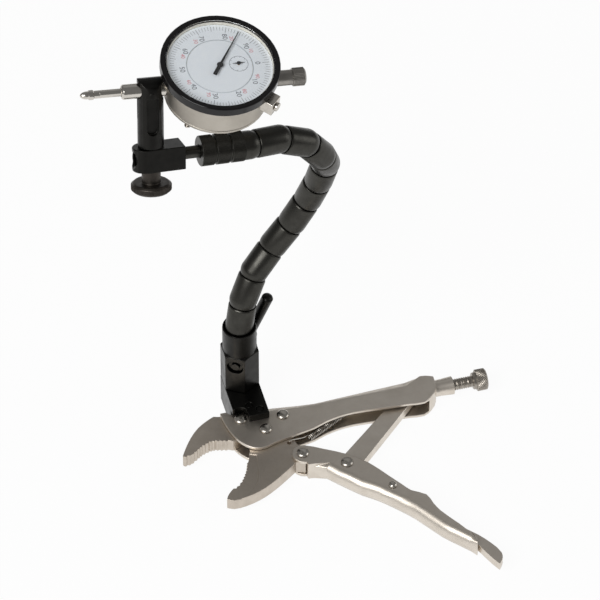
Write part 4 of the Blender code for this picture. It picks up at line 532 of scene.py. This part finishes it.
add_piece("arm_end_fitting_knurled", fitting, oxide_turned, "arm_end_fitting", "link_black", "arm_end_fitting")

# The tension cable is six strands laid round a core. It runs through every link from the
# plunger to the fitting, so each link carries its own length of it.
STRAND_RADIUS = 0.00038
STRAND_RING = 0.00080
STRAND_COUNT = 6
STRAND_TURNS_PER_METRE = 70
STRAND_STEPS = 12
CABLE_FOOT = 0.0431
CABLE_END = 0.0080

cable_steel = metal("stranded_steel_wire", "#6f6e6c", "#96938f", 0.38, 0.002, 0.0002, 0.00001)
cable_stops = [Vector((0, 0, CABLE_FOOT))] + ball_places + [ball_places[-1] + rod_way * CABLE_END]
cable_bodies = ["pliers_body"] + ["arm_link_%02d" % i for i in range(LINK_COUNT)] + ["arm_end_fitting"]
for body, start, stop in zip(cable_bodies, cable_stops, cable_stops[1:]):
    length = (stop - start).length
    twist = length * STRAND_TURNS_PER_METRE
    strands = [helix(STRAND_RING, 0.0, length, twist, 2 * pi * i / STRAND_COUNT, STRAND_STEPS)
               for i in range(STRAND_COUNT)] + [[(0, 0, 0), (0, 0, length)]]
    mesh = grown(lines_mesh(strands), wire_tree, cable_steel, Wire_Radius=STRAND_RADIUS, Wire_Sides=6)
    mesh.transform(axis_frame(start, stop - start))
    add_piece("cable_in_" + body, mesh, cable_steel, body, "cable_steel",
              *(["tension_cable"] if body == "pliers_body" else []))

# The swivel rod and its block are milled and blacked. The post stands on the block and ends
# in a split eye for the indicator's stem; the knob below draws the post's stud down.
KNOB_RADIUS = 0.0105
KNOB_RIDGES = 90
KNOB_RIDGE = 0.00020
KNOB_RIM_LOW = -0.0174
KNOB_RIM_HIGH = -0.0148

finish_node("swivel_rod", "swivel", oxide_turned, 0.0003)
finish_node("clamp_block", "swivel", black_oxide, 0.0004)
finish_node("indicator_post", "indicator_post", black_oxide, 0.0003)
worn_oxide = metal("black_oxide_steel_worn", "#3a3633", "#55504b", 0.44, 0.004, 0.0003, 0.00002)
finish_node("clamp_knob", "clamp_knob", worn_oxide, 0.0003)
knob_frame = axis_frame(joints["knob_turn"]["pos_m"], joints["knob_turn"]["axis"])
knob_edge = knurled(bpy.data.meshes.new("knob_edge"), worn_oxide, KNOB_RIDGES, KNOB_RADIUS, KNOB_RIDGE,
                    KNOB_RIM_LOW, KNOB_RIM_HIGH)
knob_edge.transform(knob_frame)
add_piece("clamp_knob_edge", knob_edge, worn_oxide, "clamp_knob", "holder_black")

# The indicator's case is a turned aluminium ring with a screwed back, blasted and clear
# anodised to a warm even satin.
satin_case = metal("aluminium_blasted_anodised", "#b3ada3", "#c2bcb2", 0.50, 0.012, 0.0002, 0.000012)
finish_node("case", "indicator", satin_case, 0.0003)
finish_node("back_cover", "indicator", satin_case, 0.0003)
finish_node("bezel_clamp", "indicator", bright_steel, 0.0003)
finish_node("bezel_clamp_screw", "bezel_clamp_screw", bright_steel)
for i in (1, 2, 3):
    finish_node("back_screw_%d" % i, "indicator", bright_steel)

# The stem and the spindle are ground steel and the contact point a screwed-in ball tip. The
# cap over the spindle's tail is turned aluminium with a knurled end.
CAP_LENGTH = 0.0190
CAP_END_LENGTH = 0.0070
CAP_END_RADIUS = 0.0047
CAP_FROM = 0.02755
CAP_RIDGES = 40
CAP_RIDGE = 0.00022
CAP_BREAK = 0.0008
CONTACT_LENGTH = 0.0100
CONTACT_SHOWN = 0.0072
CONTACT_SPIGOT = 0.0010
CONTACT_NECK = 0.0022
CONTACT_COLLAR = 0.0026
CONTACT_COLLAR_LENGTH = 0.0026
CONTACT_WAIST = 0.0021
CONTACT_STEPS = 10

ground_steel = metal("steel_ground_and_polished", "#c2bdb5", "#d8d4cd", 0.17, 0.004, 0.00015, 0.000004)
finish_node("stem", "indicator", ground_steel)
finish_node("spindle", "spindle", ground_steel)
grey_cap = metal("aluminium_turned_dull", "#8d8984", "#a5a19b", 0.38, 0.003, 0.0002, 0.00001)
finish_node("cap", "indicator", grey_cap)
case_centre = Vector(joints["pointer_spin"]["pos_m"])
case_normal = Vector(joints["pointer_spin"]["axis"])
spindle_way = Vector(joints["indicator_tilt"]["axis"])
corners = [axis_frame(case_centre, spindle_way).inverted() @ vertex.co
           for vertex in frame["nodes"]["contact_point"].data.vertices]
low = min(corner.z for corner in corners)
high = max(corner.z for corner in corners)
foot = high - CONTACT_SHOWN
back = high - CONTACT_LENGTH
brim = foot + CONTACT_COLLAR_LENGTH
break_half = CAP_BREAK / 2
nose = CONTACT_SHOWN - CONTACT_COLLAR_LENGTH - CAP_BREAK
point = [(0.0, low), (CONTACT_SPIGOT, low), (CONTACT_SPIGOT, back), (CONTACT_WAIST, back),
         (CONTACT_WAIST, foot), (CONTACT_NECK, foot), (CONTACT_COLLAR, foot + break_half),
         (CONTACT_COLLAR, brim), (CONTACT_WAIST, brim + break_half)]
point += [(CONTACT_WAIST * cos(radians(90 * i / CONTACT_STEPS)), high + nose * (sin(radians(90 * i / CONTACT_STEPS)) - 1))
          for i in range(CONTACT_STEPS + 1)]
point[-1] = (0.0, high)
point = turned_mesh("contact_point_turned", point)
point.transform(axis_frame(case_centre, spindle_way))
add_piece("contact_point_turned", smoothed(point, 38), ground_steel, "spindle", SLOTS["contact_point"],
          "contact_point")
cap_end = CAP_FROM + CAP_LENGTH
cap_edge = knurled(bpy.data.meshes.new("cap_edge"), grey_cap, CAP_RIDGES, CAP_END_RADIUS, CAP_RIDGE,
                   cap_end - CAP_END_LENGTH + CAP_BREAK / 2, cap_end - CAP_BREAK)
cap_edge.transform(axis_frame(case_centre, -spindle_way))
add_piece("cap_edge", cap_edge, grey_cap, "indicator", "case_satin")

# The movement is a brass plate with the counter wheel and the centre arbor on it; a fine
# coil draws the spindle out. The dial hides all of it.
SPINDLE_SPRING_RADIUS = 0.0012
SPINDLE_SPRING_WIRE = 0.00022
SPINDLE_SPRING_TURNS = 22

satin_brass = metal("brass_satin_lacquered", "#a98c4e", "#c3a666", 0.34, 0.004, 0.0002, 0.00001)
finish_node("movement_plate", "indicator", satin_brass)
finish_node("counter_gear", "counter_hand", satin_brass)
finish_node("centre_arbor", "centre_hand", bright_steel)
case_frame = axis_frame(case_centre, case_normal, spindle_way)
inward = case_frame.inverted()
corners = [inward @ vertex.co for vertex in frame["nodes"]["spindle_spring"].data.vertices]
low = min(corner.x for corner in corners)
high = max(corner.x for corner in corners)
side = (min(corner.y for corner in corners) + max(corner.y for corner in corners)) / 2
coil = helix(SPINDLE_SPRING_RADIUS, low + SPINDLE_SPRING_WIRE, high - SPINDLE_SPRING_WIRE, SPINDLE_SPRING_TURNS, 0,
             SPINDLE_SPRING_TURNS * 12)
coil = grown(lines_mesh([coil]), wire_tree, spring_wire, Wire_Radius=SPINDLE_SPRING_WIRE, Wire_Sides=6)
coil.transform(case_frame @ axis_frame((0.0, side, 0.0), (1, 0, 0)))
add_piece("spindle_spring_coiled", coil, spring_wire, "indicator", SLOTS["spindle_spring"], "spindle_spring")

# The dial is brass sheet in matt white enamel: a scale ring that turns with the bezel round a
# still disc. Its marks and plain numbers are printed in black and red.
MARK_LEVEL = 0.01411
MARK_THICK = 0.00003
MARK_OUTER = 0.0260
MARK_KINDS = ((100, 0.0024, 0.00016), (20, 0.0030, 0.00019), (10, 0.0036, 0.00022))
SPLIT_RADIUS = 0.01730
SPLIT_WIDTH = 0.00036
NUMBER_RADIUS = 0.0198
NUMBER_HEIGHT = 0.0027
RED_HEIGHT = 0.0021
RED_STEP = 10.5
COUNTER_RADIUS = 0.0049
COUNTER_TICK = 0.0008

white_enamel, tree, shader, place = new_material("enamel_matt_white_sprayed")
mottle = add_node(tree, "ShaderNodeTexNoise", {"Vector": place, "Scale": 1 / 0.003, "Detail": 3.0})
tint = add_node(tree, "ShaderNodeMix", {0: mottle.outputs["Fac"], 6: linear("#eef4fa"), 7: linear("#f7fbfe")},
                data_type="RGBA")
tree.links.new(tint.outputs[2], shader.inputs["Base Color"])
orange_peel = add_node(tree, "ShaderNodeBump",
                       {"Height": mottle.outputs["Fac"], "Strength": 0.2, "Distance": 0.00001})
tree.links.new(orange_peel.outputs["Normal"], shader.inputs["Normal"])
shader.inputs["Roughness"].default_value = 0.55
finish_node("dial_face", "bezel", white_enamel, 0)
finish_node("counter_plate", "indicator", white_enamel, 0)


def ink(name, dark, light):
    """Printing ink that covers a little unevenly."""
    material, tree, shader, place = new_material(name)
    cover = add_node(tree, "ShaderNodeTexNoise", {"Vector": place, "Scale": 1 / 0.0004, "Detail": 2.0})
    tone = add_node(tree, "ShaderNodeMix", {0: cover.outputs["Fac"], 6: linear(dark), 7: linear(light)},
                    data_type="RGBA")
    tree.links.new(tone.outputs[2], shader.inputs["Base Color"])
    shader.inputs["Roughness"].default_value = 0.5
    return material


black_ink = ink("printing_ink_black", "#5a5f66", "#767b82")
red_ink = ink("printing_ink_red", "#d0717a", "#de969c")
grey_ink = ink("printing_ink_grey", "#bcc4ca", "#d0d7dc")


def ring_of_marks(count, length, width, outer, centre):
    """Printed marks round a circle, their outer ends on one radius."""
    return grown(bpy.data.meshes.new("marks"), ridge_tree, black_ink, Count=count, Radius=outer - length / 2,
                 Bar=(length, width, MARK_THICK), Middle=(*centre, MARK_LEVEL), Twist=(0.0, 0.0, 0.0))


def printed_circle(name, radius, width, centre=(0.0, 0.0)):
    """A thin printed circle at the marks' level."""
    inner, outer, half = radius - width / 2, radius + width / 2, MARK_THICK / 2
    mesh = turned_mesh(name, [(inner, -half), (outer, -half), (outer, half), (inner, half)], 96, hollow=True)
    mesh.transform(Matrix.Translation((*centre, MARK_LEVEL)))
    return mesh


marks = [ring_of_marks(count, length, width, MARK_OUTER, (0.0, 0.0)) for count, length, width in MARK_KINDS]
add_piece("dial_marks", joined("dial_marks", marks, case_frame), black_ink, "bezel", "dial_white")
split = joined("dial_split_circle", [printed_circle("split", SPLIT_RADIUS, SPLIT_WIDTH)], case_frame)
add_piece("dial_split_circle", split,
          grey_ink, "bezel", "dial_white")


def printed_number(text, height, bearing):
    """A number on the dial, upright with the zero at the top, its middle at a bearing in degrees."""
    words = bpy.data.curves.new("number", "FONT")
    words.body = text
    words.size = height * 1.4
    words.align_x = "CENTER"
    words.align_y = "CENTER"
    words.extrude = MARK_THICK / 2
    holder = bpy.data.objects.new("number", words)
    scene.collection.objects.link(holder)
    bpy.context.view_layer.update()
    mesh = bpy.data.meshes.new_from_object(holder.evaluated_get(bpy.context.evaluated_depsgraph_get()))
    bpy.data.objects.remove(holder)
    angle = radians(180 - bearing)
    spot = Matrix.Translation((NUMBER_RADIUS * cos(angle), NUMBER_RADIUS * sin(angle), MARK_LEVEL))
    mesh.transform(spot @ Matrix.Rotation(radians(90), 4, "Z"))
    return mesh


black_numbers = [printed_number(str(10 * i), NUMBER_HEIGHT, 36 * i) for i in range(10)]
red_numbers = []
for i in (1, 2, 3, 4, 6, 7, 8, 9):
    towards = -1 if i in (1, 2, 6, 7) else 1
    red_numbers.append(printed_number(str(100 - 10 * i), RED_HEIGHT, 36 * i + towards * RED_STEP))
for name, numbers, colour in (("dial_numbers_black", black_numbers, black_ink),
                              ("dial_numbers_red", red_numbers, red_ink)):
    add_piece(name, joined(name, numbers, case_frame), colour, "bezel", "dial_white")
counter_spot = inward @ Vector(joints["counter_spin"]["pos_m"])
small = [printed_circle("small_outer", COUNTER_RADIUS, 0.00020, counter_spot[:2]),
         ring_of_marks(10, COUNTER_TICK, 0.00018, COUNTER_RADIUS, counter_spot[:2])]
add_piece("counter_marks", joined("counter_marks", small, case_frame), black_ink, "indicator", "dial_white")

# Both hands are thin blacked brass, pressed on their arbors; the long one tapers to a point.
HUB_RADIUS = 0.0017
SMALL_HUB_RADIUS = 0.0011
HUB_RISE = 0.0003
SMALL_REACH = 0.0033
SMALL_HALF = 0.0004

blacked_hand = metal("brass_chemically_blacked", "#1b1b1d", "#29292b", 0.42, 0.002, 0.0002, 0.000006)
finish_node("pointer", "centre_hand", blacked_hand, 0.00004)
counter_frame = case_frame @ Matrix.Translation((*counter_spot[:2], 0.0))
levels = [(counter_frame.inverted() @ vertex.co).z for vertex in frame["nodes"]["revolution_hand"].data.vertices]
outline = [(SMALL_REACH, 0.0), (0.0, SMALL_HALF), (-SMALL_REACH, 0.0), (0.0, -SMALL_HALF)]
small_hand = bpy.data.meshes.new("revolution_hand_cut")
small_hand.from_pydata([(x, y, z) for z in (min(levels), max(levels)) for x, y in outline], [],
                       [(3, 2, 1, 0), (4, 5, 6, 7)] + [(i, (i + 1) % 4, 4 + (i + 1) % 4, 4 + i) for i in range(4)])
small_hand.transform(counter_frame)
add_piece("revolution_hand_cut", small_hand, blacked_hand, "counter_hand", SLOTS["revolution_hand"],
          "revolution_hand")
for name, node, body, joint, radius, slot in (
        ("pointer_hub", "pointer", "centre_hand", "pointer_spin", HUB_RADIUS, "hand_black"),
        ("revolution_hub", "revolution_hand", "counter_hand", "counter_spin", SMALL_HUB_RADIUS, "hand_black")):
    foot = max((inward @ vertex.co).z for vertex in frame["nodes"][node].data.vertices)
    hub = turned_mesh(name, [(0.0, foot), (radius, foot), (radius * cos(radians(30)), foot + HUB_RISE / 2),
                             (radius / 2, foot + HUB_RISE * cos(radians(30))), (0.0, foot + HUB_RISE)])
    hub.transform(case_frame @ Matrix.Translation(((inward @ Vector(joints[joint]["pos_m"])).xy.to_3d())))
    add_piece(name, smoothed(hub, 50), blacked_hand, body, slot)

# The bezel is turned aluminium in gloss black enamel, with a pale inner wall above the dial;
# the crystal is a pressed-in disc of clear acrylic.
LINER_OUTER = 0.02766
LINER_INNER = 0.02742
LINER_LOW = 0.01412
LINER_HIGH = 0.01600

gloss_black, tree, shader, place = new_material("enamel_gloss_black_stoved")
dust = add_node(tree, "ShaderNodeTexNoise", {"Vector": place, "Scale": 1 / 0.004, "Detail": 4.0})
tint = add_node(tree, "ShaderNodeMix", {0: dust.outputs["Fac"], 6: linear("#0b0a0b"), 7: linear("#181617")},
                data_type="RGBA")
tree.links.new(tint.outputs[2], shader.inputs["Base Color"])
haze = add_node(tree, "ShaderNodeMapRange", {"Value": dust.outputs["Fac"], "To Min": 0.12, "To Max": 0.20})
tree.links.new(haze.outputs["Result"], shader.inputs["Roughness"])
shader.inputs["IOR"].default_value = 1.34
finish_node("bezel", "bezel", gloss_black, 0.0002)

acrylic, tree, shader, place = new_material("acrylic_clear_cast")
shader.inputs["Base Color"].default_value = (0.98, 0.99, 1.0, 1.0)
shader.inputs["Transmission Weight"].default_value = 1.0
shader.inputs["IOR"].default_value = 1.49
wipes = add_node(tree, "ShaderNodeTexNoise", {"Vector": place, "Scale": 1 / 0.006, "Detail": 2.0})
haze = add_node(tree, "ShaderNodeMapRange", {"Value": wipes.outputs["Fac"], "To Min": 0.02, "To Max": 0.05})
tree.links.new(haze.outputs["Result"], shader.inputs["Roughness"])
rays = add_node(tree, "ShaderNodeLightPath").outputs
lit = add_node(tree, "ShaderNodeMath", {0: rays["Is Shadow Ray"], 1: rays["Is Diffuse Ray"]},
               operation="ADD", use_clamp=True)
clear = add_node(tree, "ShaderNodeBsdfTransparent")
mixed = add_node(tree, "ShaderNodeMixShader", {0: lit.outputs[0], 1: shader.outputs[0], 2: clear.outputs[0]})
tree.links.new(mixed.outputs[0], tree.nodes["Material Output"].inputs["Surface"])
finish_node("crystal", "bezel", acrylic, 0.0001)

cream, tree, shader, place = new_material("enamel_cream_sprayed")
mottle = add_node(tree, "ShaderNodeTexNoise", {"Vector": place, "Scale": 1 / 0.002, "Detail": 3.0})
tint = add_node(tree, "ShaderNodeMix", {0: mottle.outputs["Fac"], 6: linear("#dcd8cb"), 7: linear("#e8e4d8")},
                data_type="RGBA")
tree.links.new(tint.outputs[2], shader.inputs["Base Color"])
shader.inputs["Roughness"].default_value = 0.5
liner = turned_mesh("liner", [(LINER_INNER, LINER_LOW), (LINER_OUTER, LINER_LOW), (LINER_OUTER, LINER_HIGH),
                              (LINER_INNER, LINER_HIGH)], 96, hollow=True)
add_piece("bezel_liner", smoothed(joined("bezel_liner", [liner], case_frame), 38), cream, "bezel", "dial_white")
